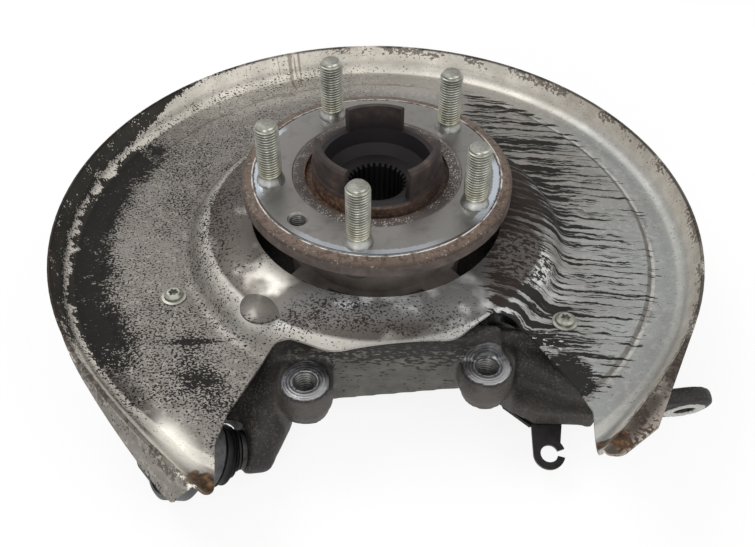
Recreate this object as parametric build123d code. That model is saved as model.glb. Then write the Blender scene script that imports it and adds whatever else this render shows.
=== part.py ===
from build123d import *
from math import atan2, cos, pi, radians, sin, sqrt
import os

# Steering knuckle with its hub bearing unit, brake splash shield and lower ball joint.
# Millimetres. +Z is the wheel axis, pointing outboard. The origin is the centre of the
# machined face that the brake disc and wheel are bolted against. -Y is the caliper side.

# ---------------------------------------------------------------- wheel hub
STUD_COUNT = 5
STUD_CIRCLE_D = 108.0
STUD_START = -26.8           # direction of the first stud, degrees from +X
STUD_D = 12.0
STUD_REACH = 34.2            # tip above the wheel face
STUD_HEAD_D = 19.0
STUD_HEAD_H = 3.5
STUD_COLLAR_W = 1.2
STUD_COLLAR_Z = -0.5          # widest place of the collar
STUD_COLLAR_END_Z = -1.4
FLANGE_D = 138.0
FLANGE_EDGE_H = 8.0
FLANGE_ROOT_H = 12.5
FLANGE_DROP = 2.4            # how far the outer band falls away to the rim
FACE_D = 124.0               # outer edge of the machined face
FACE_GROOVE_W = 1.2
FACE_GROOVE_H = 0.7
ROUGH_RING_D = 85.6
ROUGH_RING_DROP = 0.8
DISC_PILOT_D = 66.4
DISC_PILOT_H = 6.3
PILOT_GROOVE_W = 3.6
PILOT_GROOVE_H = 3.5
WHEEL_PILOT_D = 63.4
WHEEL_PILOT_H = 19.5
PILOT_WALL = 4.0
PILOT_GAPS = ((0.0, 64.0, 6.3), (122.0, 180.0, 6.3), (241.0, 301.0, 2.0))   # start, end, floor
CUP_FLOOR_Z = -7.0
CUP_FLOOR_D = 44.0
SPLINE_COUNT = 30
SPLINE_TIP_D = 28.0
SPLINE_ROOT_D = 30.6
DISC_SCREW_HOLE_D = 8.4
DISC_SCREW_R = 53.7
DISC_SCREW_ANGLE = 225.4

# ---------------------------------------------------------------- hub bearing
BALL_COUNT = 13
BALL_D = 11.5
BALL_CIRCLE_D = 63.0
ROW_OUTER_Z = -30.0
ROW_INNER_Z = -52.0
RACE_GAP = 0.25              # between a ball and its raceways
BEARING_D = 84.0
BEARING_TOP_Z = -17.0
BEARING_FLANGE_Z = -46.0     # outboard side of the bolted flange
BEARING_FLANGE_H = 12.0
BEARING_FLANGE_D = 92.0
BEARING_FLANGE_ROOM = 1.5    # casting stands this clear of the flange's edge
BEARING_END_Z = -68.0
SEAL_BORE_D = 73.0
SEAL_H = 4.0
SHOULDER_HIGH_D = 60.0       # inner shoulders at the two ends
SHOULDER_LOW_D = 57.0        # inner shoulders at the middle
INNER_SEAT_D = 43.6
INNER_RING_TOP_Z = -42.0
INNER_RING_END_Z = -66.0
ROLLED_LIP_D = 52.0
HUB_END_Z = -70.0
CAGE_WALL = 2.4
OUTER_RIB_GAP = 1.3          # rib between the two outer raceways stands this clear of the cages
CAGE_SIDE = 1.3              # material beside each ball pocket
RUN_GAP = 0.3                # between parts that turn past each other
FIT_GAP = 0.02               # between parts that are pressed or clamped together
BEARING_BOLT_D = 12.0
BEARING_BOLT_R = 56.5
BEARING_BOLT_ANGLES = (45.0, 135.0, 225.0, 315.0)
BEARING_LOBE_R = 9.3
BOLT_HEAD_AF = 16.0
BOLT_HEAD_H = 8.0

# ---------------------------------------------------------------- splash shield
SHEET = 1.3
SHIELD_FLAT_Z = -44.0        # outboard face of the flat
SHIELD_HOLE_D = 132.0
SHIELD_HOLE_Z = -24.8
PLATEAU_R = 87.0             # where the raised middle begins to fall
PLATEAU_Z = -29.5
SLOPE_FOOT_R = 106.0
RIM_R = 168.7
RIM_Z = -29.4
RIM_LEAN = 5.7               # the rim leans out this far over its height
FOLD_BEND = 9.0              # radius inside the fold
FOLD_R = RIM_R - RIM_LEAN
STEP_RING_W = 16.0           # flat ring between the embossed step and the fold
STEP_R = FOLD_R - STEP_RING_W
STEP_H = 0.9
TIP_FLAT_W = 40.0            # flat that each stretch of rim carries inside the step
LEFT_TIP_FROM = -140.0       # where the rim leaves its circle, degrees from +X
LEFT_TIP_R = 547.0
LEFT_TIP_TURN = 11.0
LEFT_STEP_TURN = 2.4         # the embossed step runs this far on
RIGHT_TIP_FROM = -34.0
RIGHT_TIP_R = 400.0
RIGHT_TIP_TURN = 13.0
RIGHT_STEP_TURN = 2.0
LIP_W = 6.2                  # lip turned down outside the rim at the left tip
LIP_RUN = 95.0               # length over which the lip grows to its full depth
LEFT_LIP_FROM = -149.7
FLARE_W = 16.0               # lip turned out flat at the right tip, before it is trimmed
FLARE_DROP = 3.0
FLARE_FROM = -26.6           # its straight edge starts here, along the rim's tangent
SHIELD_SCREW_R = 113.0
SHIELD_SCREW_ANGLES = (-154.3, -33.9, 86.0)
SHIELD_SCREW_D = 6.0
SHIELD_SCREW_HEAD_D = 12.5
SHIELD_SCREW_HEAD_H = 3.4
SHIELD_SCREW_LENGTH = 14.0
DIMPLE_R = 11.0
DIMPLE_H = 2.2
DIMPLE_AT = (-54.0, -68.0)
DIMPLE_Z = -29.5             # sheet's outboard face under the dimple

# ---------------------------------------------------------------- knuckle casting
HOUSING_D = 98.0
HOUSING_FOOT_D = 102.0
HOUSING_FOOT_H = 9.0
HOUSING_END_Z = -100.0
HOUSING_BORE_GAP = 0.05
HOUSING_FLANGE_H = 18.0
BELL_D = 160.0               # dish that closes the space behind the shield's hole
BELL_TOP_Z = -49.0
BELL_EDGE_H = 13.0
BELL_WALL = 7.0
BELL_NECK_Z = -84.0
CASTING_BASE_Z = -80.0       # underside of the webs
PLATE_H = 12.0
RIB_W = 8.0
RIB_DEPTH = 12.0             # ribs below the webs, at the housing
EAR_LEFT = (-32.8, -97.2)
EAR_RIGHT = (54.1, -86.7)
EAR_Z = -50.0
EAR_LEFT_D = 27.0
EAR_RIGHT_D = 27.0
EAR_H = 17.0
EAR_BEVEL = 1.6
EAR_HOLE_D = 10.2            # tapping size of an M12 thread
WALL_Y = -82.0               # outer face of the web between the ears
WALL_TOP_Z = -36.0
SHEET_ROOM = 1.6             # casting stays this far below the sheet
WALL_H = 10.0
WALL_LEFT_Z = -87.0          # lower edge of the web at its two ends
WALL_RIGHT_Z = -74.5
SCREW_BOSS_D = 17.0
EYE_AT = (154.8, -91.2, -78.0)
EYE_AXIS = (0.128, -0.924, -0.362)
EYE_D = 29.4
EYE_FACE_D = 21.0
EYE_HOLE_D = 11.0
EYE_H = 9.0
LEFT_ARM = ((-44.0, -70.0, -66.0), 17.0, (-58.0, -112.0, -80.0), 13.0)       # ends and radii
LEFT_FLANK = ((-62.0, -62.0, -60.0), 13.0, (-66.0, -106.0, -76.0), 9.0)
RIGHT_ARM = ((62.0, -62.0, -65.5), 14.0, (108.0, -86.0, -71.0), 8.5)
EYE_ARM = ((106.0, -84.5, -70.5), 9.0, (136.0, -84.5, -74.0), 8.5)
BACK_ARM = ((-6.0, 62.0, -74.0), 14.0, (-13.0, 116.0, -84.0), 11.5)
FRONT_FLANGE = (
    (40.0, -74.0), (50.0, -84.0), (60.0, -86.0), (69.0, -93.5), (79.0, -99.8),
    (108.0, -101.0), (114.0, -84.0), (84.0, -64.0), (40.0, -60.0),
)
FRONT_FLANGE_H = 10.0
SCOOP_R = 26.0               # hollow between the right ear's web and its flange
ARM_EYE_AT = (-14.0, 128.0, -84.0)
ARM_EYE_D = 28.0
ARM_EYE_H = 24.0
ARM_EYE_HOLE_D = 13.0

# ---------------------------------------------------------------- ball joint
BALL_AT = (-84.0, -121.8, -75.0)         # centre of the ball
PIN_DIRECTION = 200.0                    # ball pin seen in plan, degrees from +X
PIN_TILT = 18.0                          # ball pin's rise outboard
JOINT_TILT = 15.0                        # housing's further rise, at rest
BALL_AHEAD = 22.5                        # ball centre beyond the boss face
PIN_BOSS_D = 24.0
PIN_BOSS_H = 15.0
PIN_BOSS_ROOM = 2.5                      # room round the boss face for the boot
PIN_BOSS_ROOM_H = 30.0
PIN_DEPTH = 14.0
PIN_D = 14.0
NECK_D = 10.0
BOOT_LAND_H = 4.2                        # land on the pin that the boot closes on
PIN_COLLAR_D = 19.0
PIN_COLLAR_H = 2.2
JOINT_BALL_D = 22.0
BALL_PLAY = 0.12
BALL_SEAT_WALL = 2.4
BALL_SEAT_MOUTH = 6.0                    # seat's open end before the ball centre
BALL_SEAT_END = 9.0
SEAT_PLAY = 0.06
JOINT_BODY_D = 34.0
JOINT_SHOULDER = 7.4                     # shoulder behind the boot's large end
JOINT_MOUTH_D = 22.6
JOINT_THROAT_D = 19.2
JOINT_MOUTH = 11.0                       # housing's mouth before the ball centre
JOINT_RIM_D = 44.0
JOINT_RIM_W = 2.6                        # lip rolled over the closing plate
JOINT_RIM_FROM = 3.5
JOINT_END = 15.0                         # outer face beyond the ball centre
JOINT_CAP_H = 2.6
JOINT_FLANGE_FROM = 5.5
JOINT_FLANGE_H = 6.0
JOINT_LUG_REACH = 33.0
JOINT_LUG_ANGLES = (5.0, -51.0)          # from the tangent towards outboard
JOINT_LUG_R = 9.0
JOINT_LUG_HOLE_D = 10.2
PINCH_BOLT_D = 8.0
PINCH_BOLT_Y = 10.4                      # bolt axis from the pin axis
PINCH_BOLT_REACH = 12.0
PINCH_HEAD_AF = 12.0
PINCH_HEAD_H = 4.8
PINCH_LUG_UP = 9.0
PINCH_LUG_DOWN = 7.5
PINCH_REACH = 19.0
PINCH_SLOT = 2.0
BOOT_SMALL_D = 17.5
BOOT_LARGE_D = 28.0
BOOT_WALL = 1.3
BOOT_BAND = 0.22                         # straight share of the boot at the pin
BOOT_GAP = 0.3                           # between the boot and the pin's land
BOOT_FOLDS = ((0.36, 2.0), (0.52, -0.2), (0.70, 2.4), (0.84, 0.2))   # place and extra radius
CLIP_WIRE = 1.4

# ---------------------------------------------------------------- cable bracket
BRACKET_SHEET = 2.0
BRACKET_BOLT_AT = (84.0, -84.0)
BRACKET_BOLT_D = 6.0
BRACKET_HEAD_AF = 10.0
HOOK_AT = (85.9, -112.6)
HOOK_HOLE_R = 4.3
HOOK_R = 7.8
HOOK_SLOPE = 19.4
HOOK_BEND_Y = -99.0


# ================================================================ helpers
def polar(radius, angle):
    """Point in plan at a radius and an angle from +X."""
    return (radius * cos(radians(angle)), radius * sin(radians(angle)))


def rod(diameter, z_low, z_high, at=(0.0, 0.0)):
    """Round bar along Z between two heights."""
    height = z_high - z_low
    return Pos(at[0], at[1], z_low + height / 2) * Cylinder(diameter / 2, height)


def turned(points):
    """Solid of revolution about Z from a closed (radius, height) outline."""
    outline = Polyline(*[(r, 0, z) for r, z in points], close=True)
    return revolve(make_face(outline), Axis.Z)


def link(c1, r1, c2, r2, z_low, z_high):
    """Straight-sided link with two round ends in plan."""
    ring1 = (Pos(*c1) * Circle(r1)).edges()
    ring2 = (Pos(*c2) * Circle(r2)).edges()
    return extrude(Pos(0, 0, z_low) * make_hull(ring1 + ring2), z_high - z_low)


def slab(points, z_low, z_high):
    """Flat plate with a polygon outline in plan."""
    return extrude(Pos(0, 0, z_low) * make_face(Polyline(*points, close=True)), z_high - z_low)


def hexagon(across_flats, z_low, z_high, at=(0.0, 0.0)):
    """Hexagon bar along Z."""
    face = Pos(at[0], at[1], z_low) * RegularPolygon(across_flats / 2, 6, major_radius=False)
    return extrude(face, z_high - z_low)


def sector(r_in, r_out, start, end, z_low, z_high):
    """Ring sector between two angles."""
    arc_out = CenterArc((0, 0), r_out, start, end - start)
    arc_in = CenterArc((0, 0), r_in, start, end - start)
    sides = [Line(arc_in @ 0, arc_out @ 0), Line(arc_in @ 1, arc_out @ 1)]
    face = make_face([*arc_out.edges(), *arc_in.edges(), *[e for s in sides for e in s.edges()]])
    return extrude(Pos(0, 0, z_low) * face, z_high - z_low)


# ================================================================ wheel hub
def stud_places():
    step = 360.0 / STUD_COUNT
    return [polar(STUD_CIRCLE_D / 2, STUD_START + step * i) for i in range(STUD_COUNT)]


def raceway(row_z):
    """Ring-shaped groove that both raceways of one row are cut with."""
    return Pos(0, 0, row_z) * Torus(BALL_CIRCLE_D / 2, BALL_D / 2 + RACE_GAP)


def make_wheel_hub():
    groove_r = DISC_PILOT_D / 2 + PILOT_GROOVE_W
    cup_r = WHEEL_PILOT_D / 2 - PILOT_WALL
    neck_r = SHOULDER_HIGH_D / 2 + 1.0
    bore_r = SPLINE_TIP_D / 2
    outline = [
        (bore_r, CUP_FLOOR_Z - 1.5),
        (bore_r + 1.5, CUP_FLOOR_Z),
        (CUP_FLOOR_D / 2, CUP_FLOOR_Z),
        (cup_r - 1.5, -2.0),
        (cup_r, DISC_PILOT_H),
        (cup_r + 0.6, WHEEL_PILOT_H),
        (WHEEL_PILOT_D / 2 - 1.0, WHEEL_PILOT_H),
        (WHEEL_PILOT_D / 2, WHEEL_PILOT_H - 1.5),
        (WHEEL_PILOT_D / 2, DISC_PILOT_H),
        (DISC_PILOT_D / 2, DISC_PILOT_H),
        (DISC_PILOT_D / 2, -PILOT_GROOVE_H),
        (groove_r, -PILOT_GROOVE_H),
        (groove_r, -ROUGH_RING_DROP),
        (ROUGH_RING_D / 2, -ROUGH_RING_DROP),
        (ROUGH_RING_D / 2 + 0.6, 0.0),
        (FACE_D / 2, 0.0),
        (FACE_D / 2, -FACE_GROOVE_H),
        (FACE_D / 2 + FACE_GROOVE_W, -FACE_GROOVE_H),
        (FACE_D / 2 + FACE_GROOVE_W, -0.1),
        (FLANGE_D / 2 - 2.2, -0.7),
        (FLANGE_D / 2 - 0.4, -1.5),
        (FLANGE_D / 2, -FLANGE_DROP),
        (FLANGE_D / 2, -FLANGE_EDGE_H),
        (FLANGE_D / 2 - 2.0, -FLANGE_EDGE_H - 1.2),
        (BEARING_D / 2 + 1.5, -FLANGE_ROOT_H),
        (neck_r + 2.0, -FLANGE_ROOT_H),
        (neck_r, -FLANGE_ROOT_H - 2.0),
        (neck_r, BEARING_TOP_Z - SEAL_H - 0.6),
        (SHOULDER_HIGH_D / 2, BEARING_TOP_Z - SEAL_H - 1.6),
        (SHOULDER_HIGH_D / 2, ROW_OUTER_Z),
        (SHOULDER_LOW_D / 2, ROW_OUTER_Z),
        (SHOULDER_LOW_D / 2, INNER_RING_TOP_Z),
        (INNER_SEAT_D / 2, INNER_RING_TOP_Z),
        (INNER_SEAT_D / 2, INNER_RING_END_Z),
        (ROLLED_LIP_D / 2, INNER_RING_END_Z),
        (ROLLED_LIP_D / 2 - 1.0, HUB_END_Z + 1.2),
        (ROLLED_LIP_D / 2 - 3.0, HUB_END_Z),
        (bore_r + 4.0, HUB_END_Z),
        (bore_r, HUB_END_Z + 4.0),
    ]
    hub = turned(outline) - raceway(ROW_OUTER_Z)
    for start, end, floor_z in PILOT_GAPS:
        hub -= sector(cup_r - 8, WHEEL_PILOT_D / 2 + 2, start, end, floor_z, WHEEL_PILOT_H + 1)
    stud_r = STUD_D / 2 + FIT_GAP
    stud_seat = turned([
        (0, STUD_COLLAR_END_Z - FIT_GAP),
        (stud_r, STUD_COLLAR_END_Z - FIT_GAP),
        (stud_r + STUD_COLLAR_W, STUD_COLLAR_Z - FIT_GAP),
        (stud_r + STUD_COLLAR_W, 1),
        (0, 1),
    ])
    for at in stud_places():
        hub -= rod(2 * stud_r, -FLANGE_ROOT_H - 1, 1, at)
        hub -= Pos(at[0], at[1], 0) * stud_seat
        hub -= rod(STUD_HEAD_D + 1, -FLANGE_ROOT_H - 4, -FLANGE_ROOT_H + 0.5, at)
    screw_at = polar(DISC_SCREW_R, DISC_SCREW_ANGLE)
    hub -= rod(DISC_SCREW_HOLE_D, -FLANGE_ROOT_H - 1, 1, screw_at)
    hub -= Pos(screw_at[0], screw_at[1], -0.5) * Cone(DISC_SCREW_HOLE_D / 2, DISC_SCREW_HOLE_D / 2 + 1, 1)
    groove_w = pi * SPLINE_TIP_D / SPLINE_COUNT / 2
    groove = Box(SPLINE_ROOT_D, groove_w, CUP_FLOOR_Z - HUB_END_Z + 2)
    for i in range(SPLINE_COUNT // 2):
        middle_z = (CUP_FLOOR_Z + HUB_END_Z) / 2
        hub -= Pos(0, 0, middle_z) * Rot(0, 0, i * 360.0 / SPLINE_COUNT) * groove
    return hub


def make_wheel_studs():
    r = STUD_D / 2
    head_top = -FLANGE_ROOT_H + 0.5
    profile = [
        (0, STUD_REACH),
        (r - 3.2, STUD_REACH),
        (r - 1.8, STUD_REACH - 0.6),
        (r, STUD_REACH - 2.6),
        (r, 1.4),
        (r + STUD_COLLAR_W, STUD_COLLAR_Z),
        (r, STUD_COLLAR_END_Z),
        (r, head_top - FIT_GAP),
        (STUD_HEAD_D / 2, head_top - FIT_GAP),
        (STUD_HEAD_D / 2, head_top - STUD_HEAD_H + 0.8),
        (STUD_HEAD_D / 2 - 0.8, head_top - STUD_HEAD_H),
        (0, head_top - STUD_HEAD_H),
    ]
    stud = turned(profile)
    return Compound([(Pos(x, y, 0) * stud).solid() for x, y in stud_places()])


# ================================================================ hub bearing
def lobes(diameter, z_low, z_high, room=0.0):
    """Round flange with a lobe at each bearing bolt; room widens it on every side."""
    body = rod(diameter + 2 * room, z_low, z_high)
    lobe_r = BEARING_LOBE_R + room
    for angle in BEARING_BOLT_ANGLES:
        body += link((0, 0), lobe_r + 8, polar(BEARING_BOLT_R, angle), lobe_r, z_low, z_high)
    return body


def make_bearing_outer_ring():
    r = BEARING_D / 2
    seal_r = SEAL_BORE_D / 2
    rib_r = (BALL_CIRCLE_D + CAGE_WALL) / 2 + OUTER_RIB_GAP
    outline = [
        (seal_r, BEARING_TOP_Z),
        (r - 1.2, BEARING_TOP_Z),
        (r, BEARING_TOP_Z - 1.2),
        (r, BEARING_END_Z + 1.0),
        (r - 1.0, BEARING_END_Z),
        (seal_r, BEARING_END_Z),
        (seal_r, ROW_INNER_Z),
        (rib_r, ROW_INNER_Z),
        (rib_r, ROW_OUTER_Z),
        (seal_r, ROW_OUTER_Z),
    ]
    ring = turned(outline)
    flange_end_z = BEARING_FLANGE_Z - BEARING_FLANGE_H
    flange = lobes(BEARING_FLANGE_D, flange_end_z, BEARING_FLANGE_Z)
    flange -= rod(BEARING_D - 6, flange_end_z - 1, BEARING_FLANGE_Z + 1)
    ring += flange
    ring -= raceway(ROW_OUTER_Z)
    ring -= raceway(ROW_INNER_Z)
    for angle in BEARING_BOLT_ANGLES:
        at = polar(BEARING_BOLT_R, angle)
        ring -= rod(BEARING_BOLT_D + 2 * FIT_GAP, flange_end_z - 1, BEARING_FLANGE_Z + 1, at)
    return ring


def make_bearing_inner_ring():
    bore_r = INNER_SEAT_D / 2 + FIT_GAP
    outline = [
        (bore_r, INNER_RING_TOP_Z),
        (SHOULDER_LOW_D / 2, INNER_RING_TOP_Z),
        (SHOULDER_LOW_D / 2, ROW_INNER_Z),
        (SHOULDER_HIGH_D / 2, ROW_INNER_Z),
        (SHOULDER_HIGH_D / 2, INNER_RING_END_Z),
        (bore_r, INNER_RING_END_Z),
    ]
    return turned(outline) - raceway(ROW_INNER_Z)


def make_balls(row_z):
    ball = Sphere(BALL_D / 2)
    places = [polar(BALL_CIRCLE_D / 2, 360.0 / BALL_COUNT * i) for i in range(BALL_COUNT)]
    return Compound([(Pos(x, y, row_z) * ball).solid() for x, y in places])


def make_cage(row_z):
    half = BALL_D / 2 + RACE_GAP + CAGE_SIDE
    mid_r = BALL_CIRCLE_D / 2
    ring = rod(2 * mid_r + CAGE_WALL, row_z - half, row_z + half)
    ring -= rod(2 * mid_r - CAGE_WALL, row_z - half - 1, row_z + half + 1)
    pocket = Rot(0, 90, 0) * Cylinder(BALL_D / 2 + RACE_GAP, 12)
    for i in range(BALL_COUNT):
        ring -= Pos(0, 0, row_z) * Rot(0, 0, 360.0 / BALL_COUNT * i) * Pos(mid_r, 0, 0) * pocket
    return ring


def seal_outline(z_open, z_inner, r_out, r_in):
    """Seal section: pressed metal case with a lip that runs on the inner part."""
    turn = 1.0 if z_open > z_inner else -1.0
    return [
        (r_out, z_open - 0.3 * turn),
        (r_out, z_inner),
        (r_out - 1.2, z_inner),
        (r_out - 1.2, z_open - 1.6 * turn),
        (r_in + 1.2, z_open - 1.6 * turn),
        (r_in, z_inner + 0.6 * turn),
        (r_in, z_open - 0.3 * turn),
    ]


def make_outboard_seal():
    hub_r = SHOULDER_HIGH_D / 2 + 1.0
    z_inner = BEARING_TOP_Z - SEAL_H
    return turned(seal_outline(BEARING_TOP_Z, z_inner, SEAL_BORE_D / 2 - FIT_GAP, hub_r + RUN_GAP))


def make_inboard_seal():
    z_inner = BEARING_END_Z + SEAL_H + 2.4
    z_open = BEARING_END_Z + 2.2
    slinger_r = SHOULDER_HIGH_D / 2 + 1.2
    return turned(seal_outline(z_open, z_inner, SEAL_BORE_D / 2 - FIT_GAP, slinger_r + RUN_GAP))


def make_encoder_ring():
    """Slinger pressed on the inner ring; its flat face carries the speed-sensor magnet."""
    r_in = SHOULDER_HIGH_D / 2 + FIT_GAP
    face_z = BEARING_END_Z + 0.6
    outline = [
        (r_in, face_z),
        (SEAL_BORE_D / 2 - RUN_GAP, face_z),
        (SEAL_BORE_D / 2 - RUN_GAP, face_z + 1.2),
        (r_in + 1.1, face_z + 1.2),
        (r_in + 1.1, face_z + 5.0),
        (r_in, face_z + 5.0),
    ]
    return turned(outline)


def bearing_bolt_seat_z():
    return BEARING_FLANGE_Z - BEARING_FLANGE_H - HOUSING_FLANGE_H


def make_bearing_bolts():
    seat = bearing_bolt_seat_z()
    bolts = []
    for angle in BEARING_BOLT_ANGLES:
        at = polar(BEARING_BOLT_R, angle)
        bolt = rod(BEARING_BOLT_D, seat - 1, BEARING_FLANGE_Z - 0.5, at)
        bolt += hexagon(BOLT_HEAD_AF, seat - BOLT_HEAD_H, seat, at)
        bolts.append(bolt.solid())
    return Compound(bolts)


# ================================================================ splash shield
def rim_section(rim_r, stepped):
    """Section from the flat to the rim edge: embossed step, soft fold, steep rim."""
    shift = rim_r - RIM_R
    step = STEP_H if stepped else 0.0
    floor_z = SHIELD_FLAT_Z - step
    fold_r = FOLD_R + shift
    slant = atan2(RIM_Z - floor_z, RIM_LEAN)
    side = SHEET * sin(slant)
    drop = SHEET * cos(slant)
    under_r = fold_r + SHEET * (1 - cos(slant)) / sin(slant)
    inner_r = STEP_R - TIP_FLAT_W + shift
    outline = [
        (inner_r, SHIELD_FLAT_Z),
        (STEP_R - 2.2 + shift, SHIELD_FLAT_Z),
        (STEP_R + shift, floor_z),
        (fold_r, floor_z),
        (rim_r, RIM_Z),
        (rim_r + side, RIM_Z - drop),
        (under_r, floor_z - SHEET),
        (STEP_R - 0.3 + shift, floor_z - SHEET),
        (STEP_R - 2.5 + shift, SHIELD_FLAT_Z - SHEET),
        (inner_r, SHIELD_FLAT_Z - SHEET),
    ]
    face = make_face(Polyline(*[(r, 0, z) for r, z in outline], close=True))
    for r, z, bend in ((fold_r, floor_z, FOLD_BEND), (under_r, floor_z - SHEET, FOLD_BEND + SHEET)):
        corner = face.vertices().sort_by_distance((r, 0, z))[0]
        face = fillet(corner, bend)
    return face


def lip_section(rim_r):
    """Section of the lip that turns down outside the rim."""
    end_r = rim_r + LIP_W
    outline = [
        (rim_r, RIM_Z - 3.0),
        (rim_r, RIM_Z - 0.4),
        (rim_r + 0.5, RIM_Z),
        (rim_r + SHEET, RIM_Z - 0.3),
        (end_r + SHEET, SHIELD_FLAT_Z),
        (end_r, SHIELD_FLAT_Z - 0.5),
    ]
    return make_face(Polyline(*[(r, 0, z) for r, z in outline], close=True))


def flare_section(rim_r):
    """Section of the lip that turns out nearly flat from the rim."""
    end_r = rim_r + FLARE_W
    outline = [
        (rim_r + 0.2, RIM_Z - SHEET - 0.6),
        (rim_r, RIM_Z - 0.4),
        (rim_r + 0.5, RIM_Z),
        (rim_r + SHEET, RIM_Z),
        (end_r, RIM_Z - FLARE_DROP),
        (end_r, RIM_Z - FLARE_DROP - SHEET),
    ]
    return make_face(Polyline(*[(r, 0, z) for r, z in outline], close=True))


def rim_strip(section, junction, rim_r, start, turn):
    """Stretch of rim or lip on its own arc, which leaves the round rim at the junction angle."""
    strip = revolve(section, Axis.Z, revolution_arc=turn)
    cx, cy = polar(RIM_R - rim_r, junction)
    return Pos(cx, cy, 0) * Rot(0, 0, start) * strip


def lip_end(start):
    """Wedge under the first stretch of lip, so that the lip grows from nothing."""
    depth = RIM_Z - SHIELD_FLAT_Z
    slope = [(0, 0), (LIP_RUN * 1.2, -depth * 1.2), (LIP_RUN * 1.2, -3 * depth), (-10, -3 * depth), (-10, 0)]
    face = make_face(Polyline(*[(0, t, RIM_Z + 0.1 + z) for t, z in slope], close=True))
    wedge = extrude(face, RIM_R, dir=(1, 0, 0))
    x, y = polar(RIM_R / 2, start)
    return Pos(x, y, 0) * Rot(0, 0, start) * wedge


def flare_trim():
    """Block beyond the straight edge that the right tip's lip is trimmed to."""
    edge_r = RIM_R + SHEET
    block = Box(RIM_R, 2 * RIM_R, 4 * FLARE_W)
    return Rot(0, 0, FLARE_FROM) * Pos(edge_r + RIM_R / 2, 0, RIM_Z) * block


def middle_curve():
    """Outboard side of the shield's raised middle in section."""
    slope_r = (PLATEAU_R + SLOPE_FOOT_R) / 2
    slope_z = (PLATEAU_Z + SHIELD_FLAT_Z) / 2
    return Spline(
        (SHIELD_HOLE_D / 2, 0, SHIELD_HOLE_Z),
        (PLATEAU_R, 0, PLATEAU_Z),
        (slope_r, 0, slope_z),
        (SLOPE_FOOT_R, 0, SHIELD_FLAT_Z),
        tangents=((1, 0, -0.05), (1, 0, 0)),
    )


def room_under_sheet():
    """Round space below the shield's raised middle, which the casting's web fills."""
    roof = Pos(0, 0, -SHEET - SHEET_ROOM) * middle_curve()
    low = 2 * CASTING_BASE_Z
    start, end = roof @ 0, roof @ 1
    sides = [(start.X, 0, start.Z), (start.X, 0, low), (end.X, 0, low), (end.X, 0, end.Z)]
    face = make_face(Wire(roof.edges() + Polyline(*sides).edges()))
    return revolve(face, Axis.Z)


def shield_middle():
    """Raised middle: from the hub hole over the plateau and down its slope to the flat."""
    top = middle_curve()
    under = Pos(0, 0, -SHEET) * top
    edges = [top, under, Line(top @ 0, under @ 0), Line(top @ 1, under @ 1)]
    face = make_face(Wire([e for curve in edges for e in curve.edges()]))
    return revolve(face, Axis.Z)


def cut_out_outline():
    """Caliper cut-out in plan with its corner radii: front edge, sides and the two tips."""
    corners = [
        (-110.0, -260.0, 0), (-104.0, -175.5, 0), (-82.0, -165.8, 10), (-65.8, -166.6, 7),
        (-69.5, -137.0, 5),
        (-66.0, -121.0, 12), (-50.0, -84.0, 7), (-40.0, -84.5, 8), (-20.0, -92.5, 25),
        (38.0, -85.0, 18), (58.0, -67.5, 9), (74.0, -69.0, 12), (93.5, -103.0, 20),
        (99.5, -117.0, 8), (96.2, -149.6, 3), (104.5, -149.6, 8), (124.5, -133.0, 4),
        (170.0, -120.0, 0), (260.0, -260.0, 0),
    ]
    points = [(x, y) for x, y, _ in corners]
    face = make_face(Polyline(*points, close=True))
    for x, y, radius in corners:
        if radius:
            vertex = face.vertices().sort_by_distance((x, y, 0))[0]
            face = fillet(vertex, radius)
    return face


def dimple(drop):
    """Shallow round cap pressed outboard in the sheet, lowered by a drop for its inner side."""
    cap_r = (DIMPLE_R ** 2 + DIMPLE_H ** 2) / (2 * DIMPLE_H)
    x, y = DIMPLE_AT
    cap = Pos(x, y, DIMPLE_Z + DIMPLE_H - cap_r) * Sphere(cap_r - drop)
    return cap & rod(2 * DIMPLE_R, DIMPLE_Z - SHEET - 0.4, DIMPLE_Z + DIMPLE_H + 1, DIMPLE_AT)


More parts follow.
